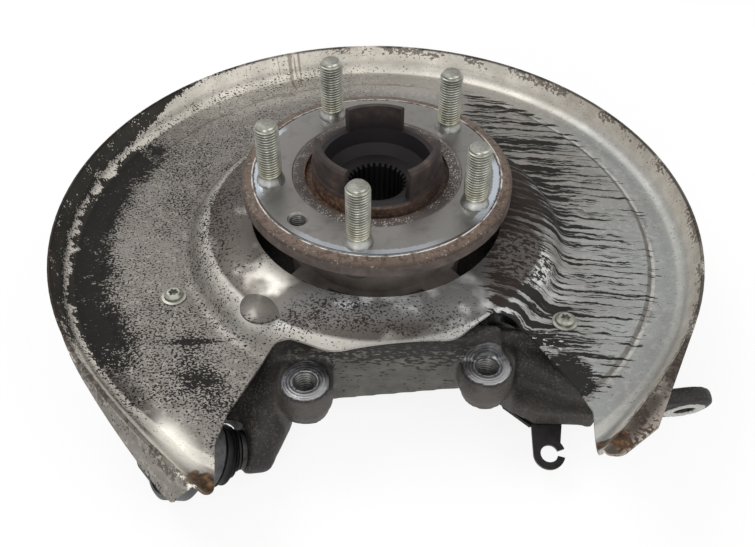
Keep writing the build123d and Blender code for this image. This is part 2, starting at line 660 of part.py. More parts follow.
def make_splash_shield():
    shield = shield_middle()
    flat = rod(2 * (STEP_R - 3.0), SHIELD_FLAT_Z - SHEET, SHIELD_FLAT_Z)
    shield += flat - rod(2 * SLOPE_FOOT_R, SHIELD_FLAT_Z - SHEET - 1, SHIELD_FLAT_Z + 1)
    round_turn = 360.0 + LEFT_TIP_FROM - RIGHT_TIP_FROM
    shield += rim_strip(rim_section(RIM_R, True), 0.0, RIM_R, RIGHT_TIP_FROM, round_turn)
    left_step = LEFT_TIP_FROM + LEFT_STEP_TURN
    left_rest = LEFT_TIP_TURN - LEFT_STEP_TURN
    stepped, plain = rim_section(LEFT_TIP_R, True), rim_section(LEFT_TIP_R, False)
    shield += rim_strip(stepped, LEFT_TIP_FROM, LEFT_TIP_R, LEFT_TIP_FROM, LEFT_STEP_TURN)
    shield += rim_strip(plain, LEFT_TIP_FROM, LEFT_TIP_R, left_step, left_rest)
    right_step = RIGHT_TIP_FROM - RIGHT_STEP_TURN
    right_end = RIGHT_TIP_FROM - RIGHT_TIP_TURN
    stepped, plain = rim_section(RIGHT_TIP_R, True), rim_section(RIGHT_TIP_R, False)
    shield += rim_strip(stepped, RIGHT_TIP_FROM, RIGHT_TIP_R, right_step, RIGHT_STEP_TURN)
    shield += rim_strip(plain, RIGHT_TIP_FROM, RIGHT_TIP_R, right_end, right_step - right_end)

    # lip turned down outside the rim towards the left tip, and out flat at the right tip
    left_run = LEFT_TIP_FROM - LEFT_LIP_FROM
    lip = rim_strip(lip_section(RIM_R), 0.0, RIM_R, LEFT_LIP_FROM, left_run)
    lip += rim_strip(lip_section(LEFT_TIP_R), LEFT_TIP_FROM, LEFT_TIP_R, LEFT_TIP_FROM, LEFT_TIP_TURN)
    shield += lip - lip_end(LEFT_LIP_FROM)
    right_run = FLARE_FROM - RIGHT_TIP_FROM
    lip = rim_strip(flare_section(RIM_R), 0.0, RIM_R, RIGHT_TIP_FROM, right_run)
    lip += rim_strip(flare_section(RIGHT_TIP_R), RIGHT_TIP_FROM, RIGHT_TIP_R, right_end, RIGHT_TIP_TURN)
    shield += lip - flare_trim()
    shield -= extrude(Pos(0, 0, -60) * cut_out_outline(), 60)
    shield += dimple(0.0)
    shield -= dimple(SHEET)
    for angle in SHIELD_SCREW_ANGLES:
        at = polar(SHIELD_SCREW_R, angle)
        shield -= rod(SHIELD_SCREW_D + 0.8, SHIELD_FLAT_Z - 4, SHIELD_FLAT_Z + 1, at)
    return shield


def make_shield_screws():
    """Pan-head screws with a pressed flange and a six-lobe socket."""
    r = SHIELD_SCREW_HEAD_D / 2
    seat = SHIELD_FLAT_Z + FIT_GAP
    profile = [
        (0, seat + SHIELD_SCREW_HEAD_H),
        (r - 3.0, seat + SHIELD_SCREW_HEAD_H),
        (r - 1.7, seat + SHIELD_SCREW_HEAD_H - 1.0),
        (r - 1.3, seat + 1.0),
        (r, seat + 0.7),
        (r, seat),
        (SHIELD_SCREW_D / 2, seat),
        (SHIELD_SCREW_D / 2, seat - SHIELD_SCREW_LENGTH),
        (0, seat - SHIELD_SCREW_LENGTH),
    ]
    screw = turned(profile)
    socket_top = seat + SHIELD_SCREW_HEAD_H
    screw -= rod(3.4, socket_top - 2.0, socket_top + 1)
    for i in range(6):
        screw -= rod(1.5, socket_top - 2.0, socket_top + 1, polar(1.7, 60 * i))
    places = [polar(SHIELD_SCREW_R, a) for a in SHIELD_SCREW_ANGLES]
    return Compound([(Pos(x, y, 0) * screw).solid() for x, y in places])


# ================================================================ knuckle casting
def eye_plane():
    """Plane on the link eye's machined face; its normal points out of the eye."""
    n = Vector(*EYE_AXIS).normalized()
    along = Vector(1, 0, 0) - n * n.X
    return Plane(origin=EYE_AT, x_dir=along.normalized(), z_dir=n)


def tilted_plane(tilt, shift=0.0):
    """Plane across the ball joint: X is outboard, Y the tangent, Z away from the boss."""
    ux, uy = polar(cos(radians(tilt)), PIN_DIRECTION)
    uz = sin(radians(tilt))
    wx, wy = polar(-sin(radians(tilt)), PIN_DIRECTION)
    bx, by, bz = BALL_AT
    origin = (bx + ux * shift, by + uy * shift, bz + uz * shift)
    return Plane(origin=origin, x_dir=(wx, wy, cos(radians(tilt))), z_dir=(ux, uy, uz))


def pin_plane():
    """Ball pin's own plane, with the ball centre as its origin."""
    return tilted_plane(PIN_TILT)


def joint_plane():
    """Ball joint housing's own plane, with the ball centre as its origin."""
    return tilted_plane(PIN_TILT + JOINT_TILT)


def pinch_hole():
    """Clearance hole through the lower lug and a tapped hole in the upper one."""
    hole = rod(PINCH_BOLT_D + 2 * FIT_GAP, 0, PINCH_BOLT_REACH + 1)
    hole += rod(PINCH_BOLT_D + 0.8, -PINCH_LUG_DOWN - 1, 0)
    return hole + rod(PINCH_HEAD_AF * 1.5, -PINCH_LUG_DOWN - 20, -PINCH_LUG_DOWN)


def strut(start, start_r, end, end_r):
    """Tapered round arm between two points, with blunt domed ends."""
    along = Vector(*end) - Vector(*start)
    length = along.length
    profile = [
        (0, -start_r), (start_r * 0.55, -start_r * 0.84), (start_r * 0.9, -start_r * 0.42),
        (start_r, 0), (end_r, length), (end_r * 0.9, length + end_r * 0.42),
        (end_r * 0.55, length + end_r * 0.84), (0, length + end_r),
    ]
    return Plane(origin=start, z_dir=along.normalized()) * turned(profile)


def rib(angle, r_out, top_z):
    """Tapered rib under a web, running out from the housing at an angle."""
    r_in = HOUSING_D / 2 - 4
    profile = [
        (r_in, top_z), (r_out, top_z), (r_out, top_z - 1.5),
        (r_in + 8, top_z - RIB_DEPTH), (r_in, top_z - RIB_DEPTH - 3),
    ]
    face = make_face(Polyline(*[(r, -RIB_W / 2, z) for r, z in profile], close=True))
    return Rot(0, 0, angle) * extrude(face, RIB_W, dir=(0, 1, 0))


def right_web():
    """Web behind the right ear: its front is hollowed down to the front flange."""
    left_x, right_x = EAR_RIGHT[0] - 4, FRONT_FLANGE[5][0]
    back_y, crest_y = WALL_Y + 24, WALL_Y + 14
    top = SHIELD_FLAT_Z - SHEET - SHEET_ROOM
    low = CASTING_BASE_Z
    front = FRONT_FLANGE[4][1] + 1.5
    ledge = low + FRONT_FLANGE_H
    points = [(back_y, low), (back_y, top), (crest_y, top), (front, ledge), (front, low)]
    face = make_face(Polyline(*[(left_x, y, z) for y, z in points], close=True))
    web = extrude(face, right_x - left_x, dir=(1, 0, 0))
    # the hollow is a cylinder through the web's crest and the ledge's edge
    half_y, half_z = (crest_y - front) / 2, (top - ledge) / 2
    half = sqrt(half_y ** 2 + half_z ** 2)
    away = sqrt(SCOOP_R ** 2 - half ** 2) / half
    centre_y = (crest_y + front) / 2 - half_z * away
    centre_z = (top + ledge) / 2 + half_y * away
    hollow = Rot(0, 90, 0) * Cylinder(SCOOP_R, right_x - left_x + 2)
    web -= Pos((left_x + right_x) / 2, centre_y, centre_z) * hollow
    return web & slab(FRONT_FLANGE, low, top + 1)


def make_knuckle_casting():
    base = CASTING_BASE_Z
    plate_top = base + PLATE_H
    seat = BEARING_FLANGE_Z - BEARING_FLANGE_H - FIT_GAP
    bosses = [polar(SHIELD_SCREW_R, a) for a in SHIELD_SCREW_ANGLES]
    boss_r = SCREW_BOSS_D / 2
    boss_top = SHIELD_FLAT_Z - SHEET - FIT_GAP
    hub_r = HOUSING_D / 2
    foot_r = HOUSING_FOOT_D / 2
    bell_r = BELL_D / 2
    bell_low = BELL_TOP_Z - BELL_EDGE_H

    # bearing housing that opens into a dish behind the shield
    casting = turned([
        (0, HOUSING_END_Z), (foot_r - 1, HOUSING_END_Z), (foot_r, HOUSING_END_Z + 1),
        (foot_r, HOUSING_END_Z + HOUSING_FOOT_H - 2), (hub_r, HOUSING_END_Z + HOUSING_FOOT_H),
        (hub_r, BELL_NECK_Z), (hub_r + 6, BELL_NECK_Z + 6), (bell_r - 3, bell_low - 3),
        (bell_r, bell_low), (bell_r, BELL_TOP_Z), (bell_r - BELL_WALL + 1, BELL_TOP_Z),
        (bell_r - BELL_WALL - 1, seat), (0, seat),
    ])
    casting += lobes(HOUSING_D, bearing_bolt_seat_z(), seat)

    # webs that tie the shield's screw bosses to the housing, ribbed below
    for angle, boss in zip(SHIELD_SCREW_ANGLES, bosses):
        casting += link((0.0, 0.0), hub_r - 14, boss, boss_r, base, plate_top)
        casting += rod(SCREW_BOSS_D, base, boss_top, boss)
        casting += rib(angle, SHIELD_SCREW_R, base + 1)
    floor = [(-56, WALL_Y + 3), (58, WALL_Y + 12), (46, -30), (-50, -30)]
    casting += slab(floor, base, plate_top)
    for angle in (-113.0, -67.0):
        casting += rib(angle, 78.0, base + 1)

    # web between the caliper ears
    left_x, right_x = EAR_LEFT[0] - 20, EAR_RIGHT[0] + 8
    outline = [
        (left_x, WALL_LEFT_Z), (EAR_LEFT[0], WALL_LEFT_Z), (EAR_RIGHT[0] - 8, WALL_RIGHT_Z),
        (right_x, WALL_RIGHT_Z), (right_x, WALL_TOP_Z), (left_x, WALL_TOP_Z),
    ]
    face = make_face(Polyline(*[(x, WALL_Y, z) for x, z in outline], close=True))
    casting += extrude(face, WALL_H, dir=(0, 1, 0)) & room_under_sheet()

    # arms to the ball joint, to the link eye and to the steering arm
    for arm in (LEFT_ARM, LEFT_FLANK, RIGHT_ARM, EYE_ARM, BACK_ARM):
        casting += strut(*arm)
    casting += slab(FRONT_FLANGE, base, base + FRONT_FLANGE_H)
    casting += right_web()

    # caliper ears on necks from the web
    for at, diameter, lean in ((EAR_LEFT, EAR_LEFT_D, -1.0), (EAR_RIGHT, EAR_RIGHT_D, 2.0)):
        ear = rod(diameter, EAR_Z - EAR_H, EAR_Z, at)
        ear = chamfer(ear.edges().sort_by(Axis.Z)[-1:], EAR_BEVEL)
        ear = chamfer(ear.edges().sort_by(Axis.Z)[:1], EAR_BEVEL * 2)
        casting += ear
        neck_r = diameter / 2 - 2
        neck_to = (at[0] + lean, WALL_Y + 4)
        casting += link(at, neck_r, neck_to, neck_r + 2, EAR_Z - EAR_H - 4, EAR_Z - 1.5)

    # link eye on the right and its arm
    eye = eye_plane()
    lug = link((0, 0), EYE_D / 2, (-24, 1), EYE_D / 2 - 1, -EYE_H, -0.8)
    lug += rod(EYE_FACE_D, -EYE_H, 0)
    casting += eye * lug
    # steering arm at the back
    ax, ay, az = ARM_EYE_AT
    casting += Pos(ax, ay, az) * Rot(0, 90, 0) * Cylinder(ARM_EYE_D / 2, ARM_EYE_H)

    # split boss that clamps the ball pin, with a lug each side of the slot
    pin = pin_plane()
    boss_face = -BALL_AHEAD
    boss_back = boss_face - PIN_BOSS_H
    boss = turned([
        (0, boss_back), (PIN_BOSS_D / 2 - 3, boss_back), (PIN_BOSS_D / 2, boss_back + 3),
        (PIN_BOSS_D / 2, boss_face - 1), (PIN_BOSS_D / 2 - 1, boss_face), (0, boss_face),
    ])
    lug_h = PINCH_LUG_UP + PINCH_LUG_DOWN
    lug_x = (PINCH_LUG_UP - PINCH_LUG_DOWN) / 2
    boss += Pos(lug_x, PINCH_REACH / 2, boss_face - PIN_BOSS_H / 2) * Box(lug_h, PINCH_REACH, PIN_BOSS_H - 2)
    casting += pin * boss

    # machined pocket for the bearing flange, and the holes
    casting -= lobes(BEARING_FLANGE_D, seat, BELL_TOP_Z + 20, BEARING_FLANGE_ROOM)
    casting -= rod(BEARING_D + 2 * HOUSING_BORE_GAP, HOUSING_END_Z - 1, seat + 1)
    for angle in BEARING_BOLT_ANGLES:
        at = polar(BEARING_BOLT_R, angle)
        casting -= rod(BEARING_BOLT_D + 1.0, bearing_bolt_seat_z() - 1, seat + 1, at)
        casting -= rod(BOLT_HEAD_AF + 5.0, HOUSING_END_Z - 1, bearing_bolt_seat_z(), at)
    for boss in bosses:
        casting -= rod(SHIELD_SCREW_D + 2 * FIT_GAP, boss_top - SHIELD_SCREW_LENGTH - 1, boss_top + 1, boss)
    for at in (EAR_LEFT, EAR_RIGHT):
        casting -= rod(EAR_HOLE_D, HOUSING_END_Z - 1, EAR_Z + 1, at)
        casting -= rod(EAR_HOLE_D + 6, HOUSING_END_Z - 1, EAR_Z - EAR_H, at)
    casting -= eye * rod(EYE_HOLE_D, -EYE_H - 20, 1)
    casting -= Pos(ax, ay, az) * Rot(0, 90, 0) * Cylinder(ARM_EYE_HOLE_D / 2, ARM_EYE_H + 2)
    clear_d = PIN_BOSS_D + 2 * PIN_BOSS_ROOM
    casting -= pin * rod(clear_d, boss_face, boss_face + PIN_BOSS_ROOM_H)
    casting -= pin * rod(PIN_D + 2 * FIT_GAP, boss_face - PIN_DEPTH - 0.5, boss_face + 1)
    slot = Box(PINCH_SLOT, PINCH_REACH + 2, PIN_BOSS_H + 1)
    casting -= pin * Pos(0, PINCH_REACH / 2 + 1, boss_face - PIN_BOSS_H / 2 + 0.5) * slot
    casting -= pin * Pos(0, PINCH_BOLT_Y, boss_face - PIN_BOSS_H / 2) * Rot(0, 90, 0) * pinch_hole()
    bx, by = BRACKET_BOLT_AT
    casting -= rod(BRACKET_BOLT_D + 2 * FIT_GAP, base - 1, base + 11, (bx, by))
    return casting


# ================================================================ ball joint
def make_ball_joint_stud():
    """Ball, neck and pin; the clamp bolt passes through the groove in the pin."""
    r = JOINT_BALL_D / 2
    neck_r = NECK_D / 2
    neck_z = -sqrt(r * r - neck_r * neck_r)
    land_r = BOOT_SMALL_D / 2 - BOOT_WALL - BOOT_GAP
    face = -BALL_AHEAD
    stud = Sphere(r) - Pos(0, 0, r - 1.0 + 5) * Box(2 * r, 2 * r, 10)
    shank = [
        (0, neck_z + 2),
        (neck_r, neck_z + 2),
        (neck_r, face + PIN_COLLAR_H + BOOT_LAND_H + 1.0),
        (land_r, face + PIN_COLLAR_H + BOOT_LAND_H),
        (land_r, face + PIN_COLLAR_H),
        (PIN_COLLAR_D / 2, face + PIN_COLLAR_H),
        (PIN_COLLAR_D / 2, face + FIT_GAP),
        (PIN_D / 2, face + FIT_GAP),
        (PIN_D / 2, face - PIN_DEPTH + 1),
        (PIN_D / 2 - 1, face - PIN_DEPTH),
        (0, face - PIN_DEPTH),
    ]
    stud += turned(shank)
    groove = Cylinder(PINCH_BOLT_D / 2 + 0.3, 40)
    stud -= Pos(0, PINCH_BOLT_Y, face - PIN_BOSS_H / 2) * Rot(0, 90, 0) * groove
    return pin_plane() * stud


def make_ball_seat():
    """Plastic cup round the ball."""
    r = JOINT_BALL_D / 2 + BALL_PLAY
    outer = r + BALL_SEAT_WALL
    seat = rod(2 * outer, -BALL_SEAT_MOUTH, BALL_SEAT_END) - Sphere(r)
    seat -= Pos(0, 0, -BALL_SEAT_MOUTH) * Cone(r + 0.6, r - 1.8, 3.0)
    return joint_plane() * seat


def joint_bore_r():
    return JOINT_BALL_D / 2 + BALL_PLAY + BALL_SEAT_WALL + SEAT_PLAY


def joint_lugs():
    """Bolt places of the housing's flange, in the joint's own plane."""
    angles = [radians(a) for a in JOINT_LUG_ANGLES]
    return [(JOINT_LUG_REACH * sin(a), JOINT_LUG_REACH * cos(a)) for a in angles]


def cap_r():
    return JOINT_RIM_D / 2 - JOINT_RIM_W + 0.8


def make_ball_joint_housing():
    bore_r = joint_bore_r()
    body_r = JOINT_BODY_D / 2
    rim_r = JOINT_RIM_D / 2
    neck_r = BOOT_LARGE_D / 2 - BOOT_WALL - FIT_GAP
    cap_seat = JOINT_END - JOINT_CAP_H - 1.0
    outline = [
        (JOINT_MOUTH_D / 2, -JOINT_MOUTH),
        (neck_r - 0.5, -JOINT_MOUTH),
        (neck_r, -JOINT_MOUTH + 0.5),
        (neck_r, -JOINT_SHOULDER),
        (body_r - 1.0, -JOINT_SHOULDER),
        (body_r, -JOINT_SHOULDER + 1.0),
        (body_r, JOINT_RIM_FROM),
        (rim_r - 0.8, JOINT_RIM_FROM),
        (rim_r, JOINT_RIM_FROM + 0.8),
        (rim_r, JOINT_END - 1.2),
        (rim_r - 1.2, JOINT_END),
        (rim_r - JOINT_RIM_W, JOINT_END),
        (rim_r - JOINT_RIM_W, JOINT_END - 1.0),
        (cap_r(), JOINT_END - 1.0),
        (cap_r(), cap_seat),
        (bore_r, cap_seat),
        (bore_r, -BALL_SEAT_MOUTH - SEAT_PLAY),
        (JOINT_THROAT_D / 2, -BALL_SEAT_MOUTH - SEAT_PLAY),
    ]
    housing = turned(outline)
    flange_end = JOINT_FLANGE_FROM + JOINT_FLANGE_H
    for at in joint_lugs():
        lug = link((0, 0), rim_r, at, JOINT_LUG_R, JOINT_FLANGE_FROM, flange_end)
        lug -= rod(JOINT_LUG_HOLE_D, JOINT_FLANGE_FROM - 1, flange_end + 1, at)
        housing += lug - rod(JOINT_RIM_D - 2, JOINT_FLANGE_FROM - 1, flange_end + 1)
    return joint_plane() * housing


def make_ball_joint_cap():
    """Pressed closing plate, domed outwards, held by the rolled lip."""
    r = cap_r() - FIT_GAP
    low = JOINT_END - JOINT_CAP_H - 1.0 + FIT_GAP
    high = JOINT_END - 1.0 - FIT_GAP
    outline = [
        (0, low + 0.6), (r * 0.45, low + 0.6), (r * 0.6, low), (r, low),
        (r, high), (r * 0.66, high), (r * 0.55, high + 0.7), (0, high + 1.0),
    ]
    return joint_plane() * turned(outline)


def boot_rings(shrink):
    """Circles along the bent boot, each on its own plane, from the pin's collar to the housing."""
    start = -BALL_AHEAD + PIN_COLLAR_H + 0.6
    end = -JOINT_MOUTH - 0.3
    small = BOOT_SMALL_D / 2
    large = BOOT_LARGE_D / 2
    sizes = [(0.0, small), (BOOT_BAND, small)]
    for place, extra in BOOT_FOLDS:
        sizes.append((place, small + (large - small) * place + extra))
    sizes += [(0.9, large), (1.0, large)]
    rings = []
    for place, radius in sizes:
        bend = min(1.0, max(0.0, (place - BOOT_BAND) / (0.9 - BOOT_BAND)))
        plane = tilted_plane(PIN_TILT + JOINT_TILT * bend, start + (end - start) * place)
        rings.append(plane * Circle(radius - shrink))
    return rings


def make_ball_joint_boot():
    """Rubber bellows, bent where the housing tilts on the ball, with a band at each end."""
    bellows = loft(boot_rings(0.0), ruled=True) - loft(boot_rings(BOOT_WALL), ruled=True)
    joint = joint_plane()
    band = rod(BOOT_LARGE_D, -JOINT_MOUTH - 0.3, -JOINT_SHOULDER - 0.3)
    band -= rod(BOOT_LARGE_D - 2 * BOOT_WALL, -JOINT_MOUTH - 1, -JOINT_SHOULDER + 1)
    return bellows + joint * band


def make_clip(plane, radius, at_z):
    """Round wire ring that holds an end of the boot."""
    return plane * Pos(0, 0, at_z) * Torus(radius + CLIP_WIRE / 2 + FIT_GAP, CLIP_WIRE / 2)


def make_pinch_bolt():
    """Bolt that draws the split boss onto the ball pin; its head is on the inboard side."""
    z = -BALL_AHEAD - PIN_BOSS_H / 2
    head_top = -PINCH_LUG_DOWN - FIT_GAP
    bolt = rod(PINCH_BOLT_D, head_top - 1, PINCH_BOLT_REACH)
    bolt += hexagon(PINCH_HEAD_AF, head_top - PINCH_HEAD_H, head_top)
    return pin_plane() * Pos(0, PINCH_BOLT_Y, z) * Rot(0, 90, 0) * bolt


# ================================================================ cable bracket
def make_cable_bracket():
    """Pressed strip under the casting with an open hook for the cable grommet."""
    top = CASTING_BASE_Z - FIT_GAP
    low = top - BRACKET_SHEET
    hx, hy = HOOK_AT
    strip = [
        (62.0, -79.0), (65.0, -88.0), (77.0, -99.5), (HOOK_AT[0] - 8, HOOK_BEND_Y),
        (HOOK_AT[0] + 7, HOOK_BEND_Y), (HOOK_AT[0] + 8, -96.0), (106.0, -96.0), (106.0, -80.0),
        (92.0, -74.0),
    ]
    bracket = slab(strip, low, top)
    bracket -= rod(BRACKET_BOLT_D + 0.6, low - 1, top + 1, BRACKET_BOLT_AT)
    reach = (HOOK_BEND_Y - hy) / cos(radians(HOOK_SLOPE))
    tab = slab([(-8, 0), (7, 0), (5.6, -reach + 4), (-HOOK_R, -reach)], -BRACKET_SHEET, 0)
    tab += Pos(0, -reach, 0) * rod(2 * HOOK_R, -BRACKET_SHEET, 0)
    tab -= Pos(0, -reach, 0) * rod(2 * HOOK_HOLE_R, -BRACKET_SHEET - 1, 1)
    tab -= slab([(0, -reach), (12, -reach + 4.0), (12, -reach - 3.2)], -BRACKET_SHEET - 1, 1)
    bend = Plane(origin=(hx, HOOK_BEND_Y, top), x_dir=(1, 0, 0),
                 z_dir=(0, -sin(radians(HOOK_SLOPE)), cos(radians(HOOK_SLOPE))))
    return bracket + bend * tab


def make_bracket_bolt():
    top = CASTING_BASE_Z - FIT_GAP
    seat = top - BRACKET_SHEET - FIT_GAP
    bolt = rod(BRACKET_BOLT_D, seat - 1, CASTING_BASE_Z + 10, BRACKET_BOLT_AT)
    bolt += rod(BRACKET_HEAD_AF + 4, seat - 1.2, seat, BRACKET_BOLT_AT)
    bolt += hexagon(BRACKET_HEAD_AF, seat - 5.5, seat - 1.0, BRACKET_BOLT_AT)
    return bolt


# ================================================================ nodes
def build_nodes():
    return {
        "knuckle_casting": make_knuckle_casting(),
        "splash_shield": make_splash_shield(),
        "shield_screws": make_shield_screws(),
        "wheel_hub": make_wheel_hub(),
        "wheel_studs": make_wheel_studs(),
        "bearing_outer_ring": make_bearing_outer_ring(),
        "bearing_inner_ring": make_bearing_inner_ring(),
        "outboard_bearing_balls": make_balls(ROW_OUTER_Z),
        "inboard_bearing_balls": make_balls(ROW_INNER_Z),
        "outboard_ball_cage": make_cage(ROW_OUTER_Z),
        "inboard_ball_cage": make_cage(ROW_INNER_Z),
        "outboard_bearing_seal": make_outboard_seal(),
        "inboard_bearing_seal": make_inboard_seal(),
        "speed_encoder_ring": make_encoder_ring(),
        "bearing_bolts": make_bearing_bolts(),
        "ball_joint_stud": make_ball_joint_stud(),
        "ball_joint_seat": make_ball_seat(),
        "ball_joint_housing": make_ball_joint_housing(),
        "ball_joint_cap": make_ball_joint_cap(),
        "ball_joint_boot": make_ball_joint_boot(),
        "boot_small_clip": make_clip(pin_plane(), BOOT_SMALL_D / 2, -BALL_AHEAD + PIN_COLLAR_H + 1.4),
        "boot_large_clip": make_clip(joint_plane(), BOOT_LARGE_D / 2, -JOINT_MOUTH + 1.6),
        "ball_pin_clamp_bolt": make_pinch_bolt(),
        "cable_bracket": make_cable_bracket(),
        "bracket_bolt": make_bracket_bolt(),
    }


os.makedirs("parts", exist_ok=True)
for name, shape in build_nodes().items():
    shape.label = name
    export_step(shape, "parts/" + name + ".step")
    print(name, round(shape.volume))
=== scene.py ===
"""Finishes, fine shapes and studio of a steering knuckle with splash shield, hub and ball joint.

Most CAD nodes keep their mesh and get a finish. The casting, the wheel studs, three threads and
the rubber boot of the ball joint are worked out here. Shapes are in millimetres until a mesh is
made of them.
"""
from types import SimpleNamespace

import bmesh
import bpy
import numpy as np
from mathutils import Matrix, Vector


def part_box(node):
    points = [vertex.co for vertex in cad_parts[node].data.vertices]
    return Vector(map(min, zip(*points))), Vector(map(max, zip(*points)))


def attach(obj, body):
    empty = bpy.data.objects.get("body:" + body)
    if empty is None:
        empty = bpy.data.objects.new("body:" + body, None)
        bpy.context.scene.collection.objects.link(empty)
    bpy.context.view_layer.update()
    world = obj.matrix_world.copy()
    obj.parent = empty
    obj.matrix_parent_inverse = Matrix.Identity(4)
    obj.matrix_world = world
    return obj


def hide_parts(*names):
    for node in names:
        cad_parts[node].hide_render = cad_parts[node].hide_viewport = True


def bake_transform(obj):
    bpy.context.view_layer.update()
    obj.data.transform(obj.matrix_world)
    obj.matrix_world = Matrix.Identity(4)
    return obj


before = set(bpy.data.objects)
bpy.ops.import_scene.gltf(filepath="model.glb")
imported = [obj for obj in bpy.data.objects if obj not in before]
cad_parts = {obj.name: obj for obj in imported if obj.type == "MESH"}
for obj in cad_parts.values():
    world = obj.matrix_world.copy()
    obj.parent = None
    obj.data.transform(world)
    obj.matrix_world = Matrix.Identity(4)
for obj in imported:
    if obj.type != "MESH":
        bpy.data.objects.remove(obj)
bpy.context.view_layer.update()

MM = 0.001
FULL_TURN = 2.0 * np.pi

# ------------------------------------------------------------ sizes of the real part, mm
STUD_CIRCLE_R = 54.0
STUD_COUNT = 5
STUD_START = -26.8                  # degrees from +X
STUD_TIP = 34.2
STUD_FOOT = -15.5
# from the foot: head, shank in the flange, collar, waist, thread, pointed tip
STUD_HEIGHTS = (STUD_FOOT, -12.2, -12.1, -1.4, -0.5, 0.8, 3.8, 5.6, 7.0,
                STUD_TIP - 2.4, STUD_TIP - 0.7, STUD_TIP)
STUD_RADII = (9.5, 9.5, 6.0, 6.0, 7.15, 7.15, 6.0, 5.7, 6.0, 6.0, 4.7, 4.0)
THREAD_PITCH = 1.5
THREAD_DEPTH = 0.92
THREAD_FROM = 4.6
THREAD_TO = 33.2

EAR_PLACES = ((-32.8, -97.2), (54.1, -86.7))
EAR_Z = -50.0
EAR_FACE_R = 12.0
EAR_HOLE_TAP_R = 5.1
EAR_HOLE_R = 6.0
EAR_DEPTH = 17.0
EAR_THREAD_PITCH = 1.75
TOOL_MARK = FULL_TURN / 1.5         # face-mill rings 1.5 mm apart, as coarse as they need to show
EYE_AT = (154.8, -91.2, -78.0)
EYE_AXIS = (0.128, -0.924, -0.362)
EYE_FACE_R = 10.6
EYE_HOLE_R = 5.5
EYE_DEPTH = 9.0
CASTING_BASE_Z = -100.0
BASE_FACE_R = 50.5
BEARING_BORE_R = 42.05
BEARING_BORE_DEPTH = 42.0
MOULD_GRAIN = 1.6                   # cube that rounds the casting's edges
FACE_REACH = 1.5                    # how far a point may be and still belong to a machined face

SCREW_HOLE_AT = (-37.706, -38.236)
SCREW_HOLE_R = 4.2
SCREW_HOLE_Z = (-10.5, -1.2)
SCREW_THREAD_PITCH = 1.25

# arcs on which the rim runs on past its circle to the shield's two tips
LEFT_TIP_R = 547.0
LEFT_TIP_CENTRE = (289.8, 243.2, 0.0)
RIGHT_TIP_R = 400.0
RIGHT_TIP_CENTRE = (-191.8, 129.3, 0.0)

BALL_AT = (-84.0, -121.8, -75.0)
PIN_DIRECTION = 200.0               # degrees from +X
PIN_TILT = 18.0                     # ball pin's rise outboard
JOINT_TILT = 15.0                   # housing's further rise
BOOT_START, BOOT_END = -19.7, -11.3        # along the pin from the ball centre
BOOT_WALL = 1.3
BOOT_PLACES = (0.0, 0.22, 0.36, 0.52, 0.70, 0.84, 0.90, 1.43)
BOOT_RADII = (8.75, 8.75, 12.6, 11.2, 14.8, 13.2, 14.0, 14.0)
BOOT_BEND = (0.22, 0.68)            # where the boot begins to bend, and over how much of it
BOOT_SPLIT = 0.7                    # where the boot's share at the pin meets its share at the housing

# where tar specks gather on the shield: x, y, half length, half width, direction, weight
TAR_SPOTS = (
    (-86.0, -14.0, 42.0, 22.0, 76.0, 0.14),
    (-100.0, -92.0, 62.0, 42.0, -52.0, 0.28),
    (-73.0, -112.0, 28.0, 15.0, -60.0, 0.34),
    (-84.0, -78.5, 30.0, 2.6, 4.0, 0.36),
    (-100.0, 40.0, 95.0, 55.0, 70.0, 0.16),
    (10.0, -76.0, 75.0, 17.0, 0.0, 0.42),
)
# places that stay free of specks, in the same form, with the weight taken off
CLEAN_SPOTS = (
    (-47.0, -56.0, 28.0, 18.0, 20.0, 0.5),
    (-54.0, -68.0, 15.0, 13.0, 0.0, 0.6),
    (-62.0, -20.0, 34.0, 12.0, 80.0, 0.35),
    (-14.0, -88.0, 34.0, 6.0, 0.0, 0.3),
    (-86.0, -138.0, 32.0, 12.0, -49.0, 0.9),
)
# painted highlights on the zinc: round the dimple, along the left tip and in front of the plateau
PAINTED_HIGHLIGHT_SPOTS = (
    (-46.0, -58.0, 24.0, 16.0, 20.0, 0.7),
    (-86.0, -139.0, 24.0, 10.0, -49.0, 0.95),
    (-16.0, -85.0, 36.0, 8.0, 0.0, 0.15),
    (-54.0, -68.0, 13.0, 12.0, 0.0, 0.95),
)

# ------------------------------------------------------------ studio, metres and watts
FLOOR_Z = -101.1 * MM               # just under the lowest lug of the ball joint
FLOOR_HALF = 6.0
PAPER_GLOW = 0.86                   # share of the paper seen directly that is plain white
SKY_STRENGTH = 0.55                 # white world on matt surfaces
LAMP_AIM = (0.0, 0.0, -0.04)
LAMPS = (                           # name, place, width, power
    ("key", (-0.7, 0.4, 1.2), 0.9, 10.5),
    ("fill", (0.9, -0.5, 0.9), 1.1, 6.0),
    ("front", (-0.3, -1.3, 0.65), 0.9, 9.5),
)
CAMERA_AT = (0.0009, -0.36765, 0.29122)
CAMERA_AIM = (0.0009, -0.0748, 0.0)
CAMERA_ROLL = 0.68                  # degrees
CAMERA_LENS = 43.58                 # mm, on a sensor 36 mm wide
CAMERA_SENSOR = 36.0


# ============================================================ colour and nodes
def linear(code):
    """Linear RGBA of an sRGB hex colour: below 0.04045 a straight line, above it a 2.4 power."""
    part = np.array([int(code[i:i + 2], 16) for i in (1, 3, 5)]) / 255.0
    curve = np.where(part <= 0.04045, part / 12.92, ((part + 0.055) / 1.055) ** 2.4)
    return (*curve.tolist(), 1.0)


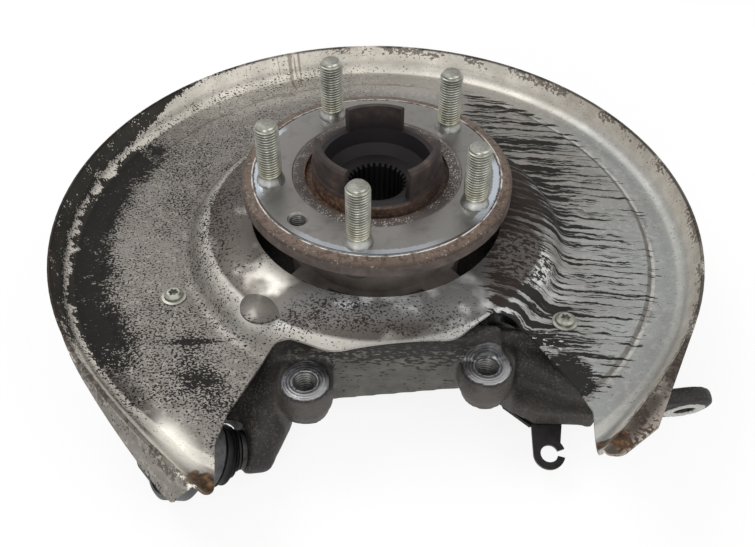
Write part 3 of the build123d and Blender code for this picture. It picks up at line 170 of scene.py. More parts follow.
def add_node(tree, kind, settings=(), links=(), out=0):
    """Add a shader node with its settings and its socket values or links; give back one output."""
    node = tree.nodes.new("ShaderNode" + kind)
    for name, value in dict(settings).items():
        setattr(node, name, value)
    for name, value in dict(links).items():
        if isinstance(value, bpy.types.NodeSocket):
            tree.links.new(value, node.inputs[name])
        else:
            node.inputs[name].default_value = value
    return node.outputs[out] if len(node.outputs) else node


def new_material(name):
    """Empty node material and its tree."""
    material = bpy.data.materials.new(name)
    material.use_nodes = True
    material.node_tree.nodes.clear()
    return material, material.node_tree


def finish_material(tree, colour, roughness, metallic, height, height_mm, specular=0.5):
    """Principled surface over a height field; colour, roughness and metallic may be sockets."""
    normal = add_node(tree, "Bump", links={
        "Height": height, "Distance": height_mm * MM, "Strength": 1.0})
    surface = add_node(tree, "BsdfPrincipled", links={
        "Base Color": colour, "Roughness": roughness, "Metallic": metallic, "Normal": normal,
        "Specular IOR Level": specular})
    add_node(tree, "OutputMaterial", links={"Surface": surface})


def place_mm(tree):
    """Object coordinates in millimetres."""
    place = add_node(tree, "TexCoord", out="Object")
    return add_node(tree, "VectorMath", {"operation": "MULTIPLY"}, {0: place, 1: (1.0 / MM,) * 3})


def axes(tree, place):
    """The three coordinates of a place."""
    return add_node(tree, "SeparateXYZ", links={0: place}).node.outputs


def radius_and_angle(tree, x, y):
    """Distance from the wheel axis in mm, and the angle from +X in degrees, -180 to 180."""
    flat = add_node(tree, "CombineXYZ", links={0: x, 1: y})
    radius = add_node(tree, "VectorMath", {"operation": "LENGTH"}, {0: flat}, out="Value")
    turn = add_node(tree, "Math", {"operation": "ARCTAN2"}, {0: y, 1: x})
    angle = add_node(tree, "Math", {"operation": "MULTIPLY"}, {0: turn, 1: np.degrees(1.0)})
    return radius, angle


def distance(tree, place, centre):
    """Distance in mm from a centre."""
    return add_node(tree, "VectorMath", {"operation": "DISTANCE"},
                    {0: place, 1: centre}, out="Value")


def height_over(tree, place, centre, axis):
    """Height in mm over the plane that lies through a centre, across an axis."""
    unit = Vector(axis).normalized()
    away = add_node(tree, "VectorMath", {"operation": "SUBTRACT"}, {0: place, 1: centre})
    return add_node(tree, "VectorMath", {"operation": "DOT_PRODUCT"},
                    {0: away, 1: tuple(unit)}, out="Value")


def rise(tree, value, start, end, low=0.0, high=1.0):
    """Smooth step of a value from start to end, giving low to high; start may be above end."""
    return add_node(tree, "MapRange", {"interpolation_type": "SMOOTHSTEP", "clamp": True}, {
        "Value": value, "From Min": start, "From Max": end, "To Min": low, "To Max": high})


def slide(tree, value, start, end, low, high):
    """Straight slope of a value from start to end, giving low to high, level beyond them."""
    return add_node(tree, "MapRange", {"clamp": True}, {
        "Value": value, "From Min": start, "From Max": end, "To Min": low, "To Max": high})


def both(tree, *masks):
    """Product of masks."""
    result = masks[0]
    for mask in masks[1:]:
        result = add_node(tree, "Math", {"operation": "MULTIPLY"}, {0: result, 1: mask})
    return result


def either(tree, *masks):
    """Largest of masks."""
    result = masks[0]
    for mask in masks[1:]:
        result = add_node(tree, "Math", {"operation": "MAXIMUM"}, {0: result, 1: mask})
    return result


def total(tree, *parts):
    """Sum of values, each given as (value, weight)."""
    result = 0.0
    for value, weight in parts:
        result = add_node(tree, "Math", {"operation": "MULTIPLY_ADD"},
                          {0: value, 1: weight, 2: result})
    return result


def band(tree, value, low, high, soft):
    """One between low and high, fading over soft on each side."""
    return both(tree, rise(tree, value, low - soft, low), rise(tree, value, high + soft, high))


def cloud(tree, place, size, detail=3.0, stretch=(1.0, 1.0, 1.0), roughness=0.55):
    """Noise, 0 to 1, with lumps about size mm wide, stretched by a factor on each axis."""
    scaled = add_node(tree, "VectorMath", {"operation": "MULTIPLY"},
                      {0: place, 1: tuple(1.0 / (size * s) for s in stretch)})
    return add_node(tree, "TexNoise", {}, {
        "Vector": scaled, "Scale": 1.0, "Detail": detail, "Roughness": roughness})


def lanes(tree, along, across, length, width, seed, detail=1.0):
    """Noise drawn out into lanes: about width mm across and length mm along."""
    place = add_node(tree, "CombineXYZ", links={
        0: add_node(tree, "Math", {"operation": "DIVIDE"}, {0: along, 1: length}),
        1: add_node(tree, "Math", {"operation": "DIVIDE"}, {0: across, 1: width}), 2: seed})
    return add_node(tree, "TexNoise", {}, {
        "Vector": place, "Scale": 1.0, "Detail": detail, "Roughness": 0.5})


def scatter(tree, grain, density, thin=0.70, thick=0.42):
    """Spots where a grain noise passes a threshold that falls from thin to thick as the density
    goes from zero to one."""
    level = slide(tree, density, 0.0, 1.0, thin, thick)
    over = add_node(tree, "Math", {"operation": "SUBTRACT"}, {0: grain, 1: level})
    return rise(tree, over, 0.0, 0.03)


def spot(tree, place, at, half, turn=0.0, core=0.25):
    """Soft ellipse in plan: one inside the core, falling to zero at its half sizes."""
    inside = add_node(tree, "Mapping", {"vector_type": "TEXTURE"}, {
        "Vector": place, "Location": (*at, 0.0), "Rotation": (0.0, 0.0, np.radians(turn)),
        "Scale": (*half, 1000.0)})
    away = add_node(tree, "VectorMath", {"operation": "LENGTH"}, {0: inside}, out="Value")
    return rise(tree, away, 1.0, core)


def spots(tree, place, table):
    """Sum of soft ellipses, each row with its own weight."""
    return total(tree, *((spot(tree, place, (x, y), (long, wide), turn), weight)
                         for x, y, long, wide, turn, weight in table))


def paint(tree, under, mask, over, share=1.0):
    """Colour over on colour under where the mask is one, covering it by a share; each colour is a
    socket or an sRGB hex code."""
    under, over = (linear(tone) if isinstance(tone, str) else tone for tone in (under, over))
    cover = mask if share == 1.0 else both(tree, mask, share)
    return add_node(tree, "Mix", {"data_type": "RGBA"}, {0: cover, 6: under, 7: over}, out=2)


def ramp(tree, value, stops):
    """Colour along a value through (position, hex) stops; positions run from 0 to 1."""
    colour = add_node(tree, "ValToRGB", links={0: value})
    marks = colour.node.color_ramp.elements
    while len(marks) < len(stops):
        marks.new(0.5)
    for mark, (position, code) in zip(marks, stops):
        mark.position = position
        mark.color = linear(code)
    return colour


def seen_white(tree):
    """One where the camera, a reflection or a clear piece looks at a surface directly."""
    path = add_node(tree, "LightPath").node.outputs
    return either(tree, path["Is Camera Ray"], path["Is Glossy Ray"], path["Is Transmission Ray"])


# ============================================================ the splash shield's sheet
def galvanised_sheet():
    """Pressed galvanised steel: dull zinc that half mirrors, fine tar specks, matt road dirt in
    the folds and black streaks blown outwards from the hub."""
    material, tree = new_material("galvanised_sheet_road_dirt")
    f = sheet_fields(tree)
    colour, lips, front = zinc_tones(tree, f)
    speck = tar_specks(tree, f)
    blown, near_hub = blown_streaks(tree, f)
    colour = paint(tree, colour, near_hub, "#7c7874")
    colour = paint(tree, colour, speck, "#141211", 0.95)
    colour = paint(tree, colour, blown, "#131211", 0.95)
    colour = dragged_dirt(tree, f, colour)
    colour = rim_and_tips(tree, f, colour)

    black = either(tree, speck, blown)
    dull = either(tree, black, both(tree, f.wall, 0.8), *lips, both(tree, f.zone, 0.6),
                  both(tree, front, 0.8))
    metallic = rise(tree, dull, 0.0, 1.0, 0.5, 0.05)
    roughness = either(tree, rise(tree, f.soft, 0.3, 0.7, 0.38, 0.5), both(tree, black, 0.7))
    relief = total(tree, (f.fine, 0.4), (f.grain, 0.2), (black, 0.5))
    finish_material(tree, colour, roughness, metallic, relief, 0.07, 0.08)
    return material


def sheet_fields(tree):
    """Coordinates, noises and zones that the layers of the sheet share."""
    f = SimpleNamespace(place=place_mm(tree))
    f.x, f.y, f.z = axes(tree, f.place)
    f.radius, f.angle = radius_and_angle(tree, f.x, f.y)
    f.soft = cloud(tree, f.place, 42.0)
    f.mid = cloud(tree, f.place, 12.0, 4.0)
    f.fine = cloud(tree, f.place, 3.4, 4.0)
    f.grain = cloud(tree, f.place, 1.0, 1.5, (1.25, 0.95, 1.0), 0.6)
    f.coarse = cloud(tree, f.place, 1.7, 3.0, (1.2, 1.0, 1.0), 0.6)
    f.ragged = total(tree, (f.radius, 1.0), (f.mid, 16.0), (f.fine, 9.0), (-12.5, 1.0))
    # the upturned wall of the rim, and the streaked zone on the right inside it
    f.wall = both(tree, rise(tree, f.z, -42.5, -37.0), rise(tree, f.radius, 150.0, 160.0))
    f.zone = both(tree, rise(tree, f.x, 36.0, 62.0), rise(tree, f.y, -116.0, -104.0),
                  rise(tree, f.radius, 158.0, 150.0))
    f.across = total(tree, (f.y, 1.0), (f.x, 0.10), (f.mid, 5.0), (f.fine, 1.6))
    return f


def zinc_tones(tree, f):
    """Zinc under the dirt: warm and dark on the left, bluish on the right, with a painted highlight
    on the upturned rim, the left plateau, round the dimple and along the left tip, painted shade at
    the left tip and painted light in front of the hub. Gives the colour, and the masks of the two
    lips and of the painted light in front, which look dull."""
    place, x, y, z, radius, mid = f.place, f.x, f.y, f.z, f.radius, f.mid
    colour = paint(tree, "#76726d", rise(tree, x, -30.0, 80.0), "#8f918f")
    # painted highlight: the raised plateau on the left painted lighter
    plateau = both(tree, rise(tree, radius, 104.0, 84.0), rise(tree, x, 40.0, -40.0))
    colour = paint(tree, colour, plateau, "#c2beb6", 0.85)
    back = both(tree, rise(tree, y, 90.0, 125.0), rise(tree, radius, 130.0, 142.0))
    colour = paint(tree, colour, back, "#a29d95", 0.75)
    back_right = both(tree, rise(tree, x, 20.0, 60.0), rise(tree, y, 10.0, 60.0),
                      rise(tree, radius, 150.0, 138.0))
    colour = paint(tree, colour, back_right, "#77736d", 0.75)
    # painted light: the plateau in front of the hub and to its right painted near white to lift the
    # hub flange's shadow
    front = either(tree, spot(tree, place, (12.0, -64.0), (88.0, 20.0), 4.0, 0.5),
                   both(tree, spot(tree, place, (66.0, -40.0), (44.0, 34.0)), 0.7))
    colour = paint(tree, colour, front, "#f0f2f2")
    # painted highlight: lighter spots round the dimple, along the left tip and in front of the
    # plateau
    colour = paint(tree, colour, spots(tree, place, PAINTED_HIGHLIGHT_SPOTS), "#dcd8ce")
    tip_shade = spot(tree, place, (-113.0, -113.0), (30.0, 11.0), -52.0, 0.5)
    colour = paint(tree, colour, tip_shade, "#403c38", 0.9)

    # the rim's wall and the fold below it painted pale, a painted highlight, duller on the right
    pale = ramp(tree, mid, [(0.3, "#cfcac0"), (0.55, "#e6e0d4"), (0.75, "#f0eadf")])
    colour = paint(tree, colour, f.wall, pale)
    fold = both(tree, band(tree, radius, 160.5, 164.5, 1.5), rise(tree, z, -40.0, -43.0))
    colour = paint(tree, colour, both(tree, fold, rise(tree, x, 140.0, 40.0, 0.15, 0.6)), pale)
    # the painted highlight is weaker on the right wall: a duller tone is painted over it there
    dull_wall = both(tree, f.wall, rise(tree, x, 60.0, 130.0), 0.75)
    worn = ramp(tree, mid, [(0.35, "#8f877c"), (0.5, "#a29b91"), (0.7, "#b3ada4")])
    colour = paint(tree, colour, dull_wall, worn)

    # the embossed arc on the right: a groove in painted shade with a painted highlight on the crest
    # outside it
    arc_side = both(tree, rise(tree, x, 60.0, 100.0), rise(tree, y, -106.0, -98.0))
    arc_groove_shade = both(tree, band(tree, radius, 145.0, 146.6, 0.6), arc_side)
    colour = paint(tree, colour, arc_groove_shade, "#56524e", 0.6)
    arc_crest_highlight = both(tree, band(tree, radius, 147.2, 148.4, 0.5), arc_side)
    colour = paint(tree, colour, arc_crest_highlight, "#c2c0ba", 0.55)

    # the lips outside the rim at the two tips
    plan = add_node(tree, "CombineXYZ", links={0: x, 1: y, 2: 0.0})
    left_lip = rise(tree, distance(tree, plan, LEFT_TIP_CENTRE),
                    LEFT_TIP_R + 1.2, LEFT_TIP_R + 2.0)
    left_lip = both(tree, left_lip, rise(tree, x, 0.0, -20.0), rise(tree, y, -80.0, -90.0))
    colour = paint(tree, colour, left_lip, ramp(tree, mid, [(0.3, "#6a6660"), (0.7, "#817d76")]))
    right_lip = rise(tree, distance(tree, plan, RIGHT_TIP_CENTRE),
                     RIGHT_TIP_R + 0.4, RIGHT_TIP_R + 1.6)
    right_lip = both(tree, right_lip, rise(tree, x, 0.0, 20.0), rise(tree, y, -66.0, -76.0))
    colour = paint(tree, colour, right_lip, ramp(tree, mid, [(0.3, "#857c73"), (0.7, "#a69e95")]))

    # drift of the tone, from large to fine
    colour = paint(tree, colour, rise(tree, f.soft, 0.38, 0.64), "#5f5a55", 0.22)
    colour = paint(tree, colour, rise(tree, f.fine, 0.5, 0.66), "#bdb9b0", 0.2)
    colour = paint(tree, colour, rise(tree, f.grain, 0.5, 0.62), "#4f4a45", 0.1)

    # brown film beside the embossed step and at the foot of the plateau
    step = band(tree, f.ragged, 145.6, 147.4, 1.2)
    foot = both(tree, band(tree, f.ragged, 104.0, 108.0, 3.0), rise(tree, x, 30.0, -30.0), 0.7)
    film = both(tree, either(tree, step, foot), rise(tree, cloud(tree, place, 24.0), 0.36, 0.55))
    colour = paint(tree, colour, film, "#57504a", 0.45)
    return colour, (left_lip, right_lip), front


def tar_specks(tree, f):
    """Mask of tar specks: scattered by place, thick in the left gutter and on the left wall."""
    place, angle = f.place, f.angle
    left = rise(tree, f.x, 30.0, -40.0)
    clumps = rise(tree, cloud(tree, place, 16.0, 3.0), 0.34, 0.64, 0.75, 1.2)
    spread = total(tree, (left, 0.34), (spots(tree, place, TAR_SPOTS), 1.0), (0.05, 1.0))
    spread = both(tree, spread, clumps)
    clean = both(tree, either(tree, f.wall, rise(tree, f.x, 60.0, 110.0)), 0.75)
    spread = total(tree, (spread, 1.0), (spots(tree, place, CLEAN_SPOTS), -1.0), (clean, -0.35))

    side = either(tree, rise(tree, angle, 144.0, 158.0), rise(tree, angle, -138.0, -154.0))
    gutter = both(tree, side, rise(tree, f.ragged, 132.0, 156.0),
                  rise(tree, f.ragged, 163.0, 160.0), rise(tree, f.z, -40.0, -42.5))
    wall_side = either(tree, rise(tree, angle, 108.0, 136.0), rise(tree, angle, -142.0, -158.0))
    turn = add_node(tree, "Math", {"operation": "ABSOLUTE"}, {0: angle})
    lower = rise(tree, turn, 132.0, 156.0, 9.0, -5.0)
    wall_height = total(tree, (f.z, 1.0), (f.mid, 9.0), (-4.5, 1.0), (lower, -1.0))
    wall_dirt = both(tree, wall_side, rise(tree, wall_height, -41.0, -36.0))

    broken = rise(tree, cloud(tree, place, 9.0, 3.0), 0.36, 0.6, 0.6, 1.15)
    density = total(tree, (spread, 0.78), (both(tree, gutter, broken), 0.95),
                    (both(tree, wall_dirt, f.wall, broken), 1.15))
    return either(tree, scatter(tree, f.grain, density, 0.7, 0.33),
                  scatter(tree, f.coarse, density, 0.8, 0.38))


def blown_streaks(tree, f):
    """Mask of the streaks blown outwards on the right, dark near the hub and thin ragged lanes
    along X farther out, and of the grey film between them near the hub."""
    lane = lanes(tree, f.x, f.across, 60.0, 2.9, 3.0, 2.0)
    hair = lanes(tree, f.x, f.across, 9.0, 0.8, 7.0, 3.0)
    own = lanes(tree, 0.0, f.across, 1.0, 4.6, 11.0)
    low = rise(tree, f.y, -10.0, -85.0, 0.0, 14.0)
    high = rise(tree, f.y, 60.0, 140.0, 0.0, 40.0)
    reach = total(tree, (f.x, 1.0), (low, 1.0), (high, 1.0), (own, -130.0), (65.0, 1.0))
    level = slide(tree, f.zone, 0.0, 1.0, 0.9, slide(tree, reach, 64.0, 164.0, 0.43, 0.59))
    stroke = total(tree, (lane, 0.62), (hair, 0.38))
    over = add_node(tree, "Math", {"operation": "SUBTRACT"}, {0: stroke, 1: level})
    near_cut = spot(tree, f.place, (92.0, -96.0), (22.0, 30.0), 30.0)
    patch = scatter(tree, total(tree, (hair, 0.6), (f.coarse, 0.4)), near_cut, 0.9, 0.36)
    near_hub = both(tree, f.zone, rise(tree, reach, 140.0, 80.0), 0.6)
    return either(tree, rise(tree, over, 0.0, 0.03), patch), near_hub


def dragged_dirt(tree, f, colour):
    """Dry-brushed dirt between the hub and the front edge, with worn zinc showing through."""
    dry = either(tree, spot(tree, f.place, (74.0, -34.0), (30.0, 30.0), 0.0, 0.4),
                 both(tree, spot(tree, f.place, (84.0, -76.0), (24.0, 20.0)), 0.8))
    drag = lanes(tree, f.x, f.across, 5.0, 1.5, 5.0, 3.0)
    drag = total(tree, (drag, 0.5), (f.coarse, 0.5))
    colour = paint(tree, colour, scatter(tree, drag, dry, 0.82, 0.5), "#2b2826", 0.85)
    inverse = total(tree, (drag, -1.0), (1.0, 1.0))
    return paint(tree, colour, scatter(tree, inverse, dry, 0.9, 0.49), "#cfcfcb", 0.75)


def rim_and_tips(tree, f, colour):
    """Mottled dirt and a dark line along the rim, rust at the two tips, brown runs at the back."""
    rough_rim = both(tree, f.wall, rise(tree, f.z, -38.5, -31.5),
                     rise(tree, f.angle, 112.0, 96.0), rise(tree, f.mid, 0.36, 0.58))
    colour = paint(tree, colour, scatter(tree, f.coarse, rough_rim), "#40362e", 0.75)
    edge_line = both(tree, rise(tree, f.z, -31.0, -29.9),
                     rise(tree, cloud(tree, f.place, 30.0), 0.3, 0.5))
    colour = paint(tree, colour, edge_line, "#2c2420", 0.85)
    tips = either(tree, spot(tree, f.place, (-70.0, -160.0), (16.0, 11.0), -50.0),
                  spot(tree, f.place, (103.0, -141.0), (12.0, 8.0), -40.0))
    stain = rise(tree, total(tree, (tips, 1.0), (f.fine, 1.2)), 0.95, 1.25)
    rust = ramp(tree, f.fine, [(0.35, "#261a12"), (0.52, "#4d3826"), (0.7, "#7a5c3c")])
    colour = paint(tree, colour, stain, rust, 0.9)
    near_tip = spot(tree, f.place, (112.0, -140.0), (30.0, 9.0), 42.0)
    colour = paint(tree, colour, scatter(tree, f.coarse, near_tip, 0.9, 0.47), "#3a2f28", 0.8)
    runs = lanes(tree, f.radius, f.angle, 30.0, 1.6, 2.0, 2.0)
    runs = scatter(tree, runs, band(tree, f.angle, 107.0, 114.0, 2.0), 0.9, 0.58)
    runs = both(tree, runs, rise(tree, f.radius, 140.0, 150.0))
    return paint(tree, colour, runs, "#5d4936", 0.55)


# ============================================================ hub, studs and casting
def turned_hub():
    """Forged hub flange: machined face, rough inner ring, rusted rim, dark heat-tinted pilot."""
    material, tree = new_material("turned_hub_face_rust_rim")
    place = place_mm(tree)
    x, y, z = axes(tree, place)
    radius, angle = radius_and_angle(tree, x, y)
    mid = cloud(tree, place, 7.0, 4.0)
    fine = cloud(tree, place, 2.0, 4.0)
    grain = cloud(tree, place, 0.9, 2.0)
    # from the axis out: bore in painted shade, rough ring, turned face, groove, rust band
    span = add_node(tree, "Math", {"operation": "DIVIDE"}, {0: radius, 1: 70.0})
    colour = ramp(tree, span, [
        (0.0, "#151211"), (0.42, "#1d1918"), (0.455, "#2d2624"), (0.53, "#3b3532"),
        (0.60, "#47413e"), (0.613, "#6b6764"), (0.63, "#787572"), (0.875, "#7b7976"),
        (0.886, "#868583"), (0.889, "#262120"), (0.903, "#655850"), (0.96, "#5f5045"),
        (0.985, "#413832"),
    ])
    colour = paint(tree, colour, rise(tree, mid, 0.5, 0.72), "#4d4743", 0.3)
    # rust band: darker scabs and worn light flecks
    rim = band(tree, radius, 63.4, 69.5, 0.3)
    scab = scatter(tree, cloud(tree, place, 2.6, 4.0), both(tree, rim, 0.62))
    colour = paint(tree, colour, scab, "#3f342d", 0.7)
    fleck = both(tree, rim, rise(tree, mid, 0.4, 0.6), 0.45)
    fleck = scatter(tree, cloud(tree, place, 1.3, 3.0), fleck)
    colour = paint(tree, colour, fleck, "#a0958b", 0.4)
    # pale residue just inside the rust band, and a bright line at the groove's edge
    arcs = either(tree, band(tree, angle, 150.0, 181.0, 8.0),
                  band(tree, angle, -181.0, -164.0, 8.0), band(tree, angle, -34.0, 4.0, 8.0),
                  both(tree, band(tree, angle, -120.0, -70.0, 16.0), 0.5))
    edge = total(tree, (radius, 1.0), (fine, 2.4))
    residue = both(tree, arcs, band(tree, edge, 60.6, 63.4, 0.5))
    colour = paint(tree, colour, residue, "#b6bdc6", 0.85)
    edge = total(tree, (radius, 1.0), (fine, 0.8))
    bright_line = both(tree, band(tree, edge, 63.6, 64.1, 0.25), rise(tree, z, -1.4, -0.6))
    bright_line = both(tree, bright_line, rise(tree, mid, 0.35, 0.55))
    colour = paint(tree, colour, bright_line, "#cfcbc4", 0.8)
    # rough ring with rust flakes
    rough = band(tree, radius, 36.9, 43.0, 0.4)
    flakes = scatter(tree, grain, both(tree, rough, rise(tree, mid, 0.36, 0.6), 0.55))
    colour = paint(tree, colour, flakes, "#a09a96", 0.8)
    # wheel pilot, the rusty groove round it, and painted shade in the bore and in the splines below
    # it
    pilot = both(tree, rise(tree, z, 0.3, 1.0), rise(tree, radius, 37.0, 36.0))
    tinted = ramp(tree, mid, [(0.3, "#262020"), (0.55, "#352d2b"), (0.75, "#4d4039")])
    colour = paint(tree, colour, pilot, tinted)
    foot = both(tree, band(tree, radius, 31.5, 37.4, 0.4), rise(tree, z, 5.6, 4.0))
    rust = ramp(tree, fine, [(0.32, "#2c211c"), (0.5, "#4b392e"), (0.7, "#6f5340")])
    colour = paint(tree, colour, both(tree, foot, rise(tree, x, 26.0, -16.0, 0.35, 1.0)), rust)
    bore_painted_shade = both(tree, rise(tree, radius, 31.2, 30.2), rise(tree, z, 17.0, 6.0))
    colour = paint(tree, colour, bore_painted_shade, "#191617")
    splines_painted_shade = both(tree, rise(tree, radius, 16.5, 15.5), rise(tree, z, -6.0, -8.0))
    colour = paint(tree, colour, splines_painted_shade, "#0c0b0b")
    # flange side and back
    side = both(tree, rise(tree, z, -2.4, -3.0), rise(tree, radius, 68.5, 68.8))
    side = both(tree, either(tree, rise(tree, z, -3.0, -3.8), side),
                rise(tree, radius, 38.5, 40.5))
    brown = ramp(tree, mid, [(0.3, "#3b3532"), (0.55, "#544b47"), (0.8, "#6e6158")])
    colour = paint(tree, colour, side, brown)

    # turning rings 0.7 mm apart on the face, grit on the rough ring and the rust
    rings = add_node(tree, "Math", {"operation": "SINE"}, {0: both(tree, radius, 9.0)})
    turned = both(tree, band(tree, radius, 43.0, 62.0, 0.3), rings)
    height = total(tree, (turned, 0.08), (fine, 0.7), (both(tree, rough, grain), 1.6),
                   (both(tree, rim, fine), 1.4))
    shine = both(tree, band(tree, radius, 43.0, 62.0, 0.5), rise(tree, z, -0.9, -0.3))
    finish_material(tree, colour, rise(tree, shine, 0.0, 1.0, 0.62, 0.33),
                    rise(tree, shine, 0.0, 1.0, 0.1, 0.8), height, 0.1, 0.25)
    return material


def zinc_stud():
    """Zinc-plated wheel stud: bright crests, darker grey at the thread's root, dull rough tip."""
    material, tree = new_material("zinc_plated_stud_thread")
    place = place_mm(tree)
    z = axes(tree, place)[2]
    depth = add_node(tree, "Attribute", {"attribute_name": "root"}, out="Fac")
    drift = cloud(tree, place, 6.0, 4.0)
    grain = cloud(tree, place, 1.2, 4.0)
    colour = ramp(tree, drift, [(0.3, "#74746c"), (0.5, "#93938a"), (0.75, "#a9a99e")])
    colour = paint(tree, colour, rise(tree, z, 20.0, 6.0), "#a39f86", 0.4)
    colour = paint(tree, colour, depth, "#2b2a26", 0.8)
    bright = ramp(tree, drift, [(0.3, "#9b9c9a"), (0.7, "#c4c5c3")])
    colour = paint(tree, colour, band(tree, z, -0.6, 4.2, 0.4), bright, 0.8)
    tip = rise(tree, z, STUD_TIP - 0.5, STUD_TIP - 0.1)
    sheared = ramp(tree, grain, [(0.3, "#6c6c66"), (0.7, "#8e8e87")])
    colour = paint(tree, colour, tip, sheared, 0.9)
    head = rise(tree, z, -9.0, -11.0)
    colour = paint(tree, colour, head, "#332f2c")
    roughness = either(tree, rise(tree, depth, 0.0, 1.0, 0.3, 0.6), both(tree, tip, 0.62),
                       both(tree, head, 0.8))
    finish_material(tree, colour, roughness, rise(tree, head, 0.0, 1.0, 0.88, 0.1), grain, 0.04)
    return material


def cast_iron():
    """Sand-cast iron, dark and rough; scraped grey between the ears; milled seats and faces."""
    material, tree = new_material("sand_cast_iron_weathered")
    place = place_mm(tree)
    x, y, z = axes(tree, place)
    lump = cloud(tree, place, 14.0, 4.0)
    grain = cloud(tree, place, 1.1, 2.0)
    colour = ramp(tree, lump, [(0.3, "#1b1918"), (0.55, "#242120"), (0.8, "#34302d")])
    grit = scatter(tree, grain, rise(tree, cloud(tree, place, 9.0), 0.4, 0.62, 0.3, 0.55))
    colour = paint(tree, colour, grit, "#5c5750", 0.35)
    # scraped outer face of the web between the ears, with tar towards its top and painted shade at
    # its very top under the shield's edge
    web = both(tree, rise(tree, y, -79.0, -81.3), band(tree, x, -40.0, 49.0, 3.0),
               rise(tree, y, -86.0, -83.0))
    grey = cloud(tree, place, 11.0, 3.0)
    grey = ramp(tree, grey, [(0.3, "#4a4844"), (0.6, "#5b5954"), (0.8, "#6e6c65")])
    higher = rise(tree, total(tree, (z, 1.0), (lump, 16.0)), -60.0, -34.0, 0.25, 1.05)
    tar = scatter(tree, cloud(tree, place, 1.7, 3.0, (2.0, 1.0, 0.8)), higher)
    grey = paint(tree, grey, tar, "#1c1918", 0.9)
    # painted shade: the top of the web darkened under the overhanging edge of the shield
    grey = paint(tree, grey, rise(tree, z, -47.0, -40.0), "#1c1918", 0.8)
    colour = paint(tree, colour, web, grey)
    # lighter paint on the lower flange on the right
    ledge = both(tree, rise(tree, x, 56.0, 68.0), rise(tree, y, -86.0, -94.0),
                 rise(tree, x, 122.0, 112.0))
    colour = paint(tree, colour, ledge, "#4d4945", 0.3)
    # milled ear faces: a bright rim round each hole, a painted highlight on the arc nearer the
    # front, a lighter cast side
    faces, rims, arcs, sides, marks = 0.0, 0.0, 0.0, 0.0, 0.0
    for ex, ey in EAR_PLACES:
        away = distance(tree, place, (ex, ey, EAR_Z))
        face = both(tree, rise(tree, away, 12.2, 11.6), rise(tree, z, EAR_Z - 0.5, EAR_Z - 0.15))
        rim = both(tree, band(tree, away, 5.0, 6.3, 0.3), rise(tree, z, EAR_Z - 2.0, EAR_Z - 0.8))
        slant = total(tree, (y, 1.0), (x, -0.5))
        nearer = rise(tree, slant, ey - 0.5 * ex + 1.0, ey - 0.5 * ex - 8.0)
        faces = either(tree, faces, face)
        rims = either(tree, rims, rim)
        arcs = either(tree, arcs, both(tree, face, band(tree, away, 8.6, 10.8, 1.4), nearer))
        cutter = total(tree, (away, TOOL_MARK))
        cutter = add_node(tree, "Math", {"operation": "SINE"}, {0: cutter})
        marks = total(tree, (marks, 1.0), (both(tree, cutter, face), 1.0))
        column = spot(tree, place, (ex, ey), (17.0, 17.0), 0.0, 0.8)
        column = both(tree, column, rise(tree, z, EAR_Z - 0.6, EAR_Z - 2.0))
        sides = either(tree, sides, column)
    patchy = both(tree, sides, rise(tree, lump, 0.35, 0.6, 0.4, 0.8))
    colour = paint(tree, colour, patchy, "#4e4a47")
    milled = cloud(tree, place, 3.0, 4.0)
    milled = ramp(tree, milled, [(0.32, "#39383a"), (0.52, "#4c4b4d"), (0.75, "#6a6a6c")])
    colour = paint(tree, colour, faces, milled)
    colour = paint(tree, colour, rise(tree, marks, 0.2, 0.9), "#8a8a8b", 0.2)
    # painted highlight on the arc of each ear face nearer the front
    colour = paint(tree, colour, arcs, "#a9a9a9", 0.6)
    colour = paint(tree, colour, rims, "#8f9091", 0.6)
    # bright ring on the link eye
    eye_face = both(tree, rise(tree, distance(tree, place, EYE_AT), 10.8, 10.2),
                    rise(tree, height_over(tree, place, EYE_AT, EYE_AXIS), -0.7, -0.3))
    bright = ramp(tree, grain, [(0.3, "#8f8d88"), (0.7, "#c6c4bf")])
    colour = paint(tree, colour, eye_face, bright)

    shine = either(tree, faces, rims, eye_face)
    relief = total(tree, (grain, 0.8), (cloud(tree, place, 3.0, 4.0), 1.0))
    relief = both(tree, relief, rise(tree, shine, 0.0, 1.0, 1.0, 0.2))
    relief = total(tree, (relief, 1.0), (marks, 0.12))
    finish_material(tree, colour, rise(tree, shine, 0.0, 1.0, 0.55, 0.4),
                    rise(tree, shine, 0.0, 1.0, 0.05, 0.7), relief, 0.45, 0.25)
    return material


# ============================================================ small parts and paper
def plain_finish(name, dark, light, roughness, metallic, size=4.0, bump_mm=0.04, specular=0.5):
    """Plated, ground, painted or moulded small part whose tone drifts between dark and light over
    size mm, with the roughness following the drift."""
    material, tree = new_material(name)
    drift = cloud(tree, place_mm(tree), size, 4.0)
    colour = ramp(tree, drift, [(0.3, dark), (0.72, light)])
    spread = rise(tree, drift, 0.3, 0.7, roughness - 0.07, roughness + 0.1)
    finish_material(tree, colour, spread, metallic, drift, bump_mm, specular)
    return material


def studio_paper():
    """Seamless pale paper: white to the camera and in reflections, with a soft shadow under the
    part."""
    material, tree = new_material("pale_studio_paper")
    share = both(tree, seen_white(tree), PAPER_GLOW)
    paper = add_node(tree, "BsdfDiffuse", links={"Color": linear("#f2f2f2")})
    glow = add_node(tree, "Emission", links={"Color": linear("#ffffff"), "Strength": 1.0})
    mixed = add_node(tree, "MixShader", links={0: share, 1: paper, 2: glow})
    add_node(tree, "OutputMaterial", links={"Surface": mixed})
    return material


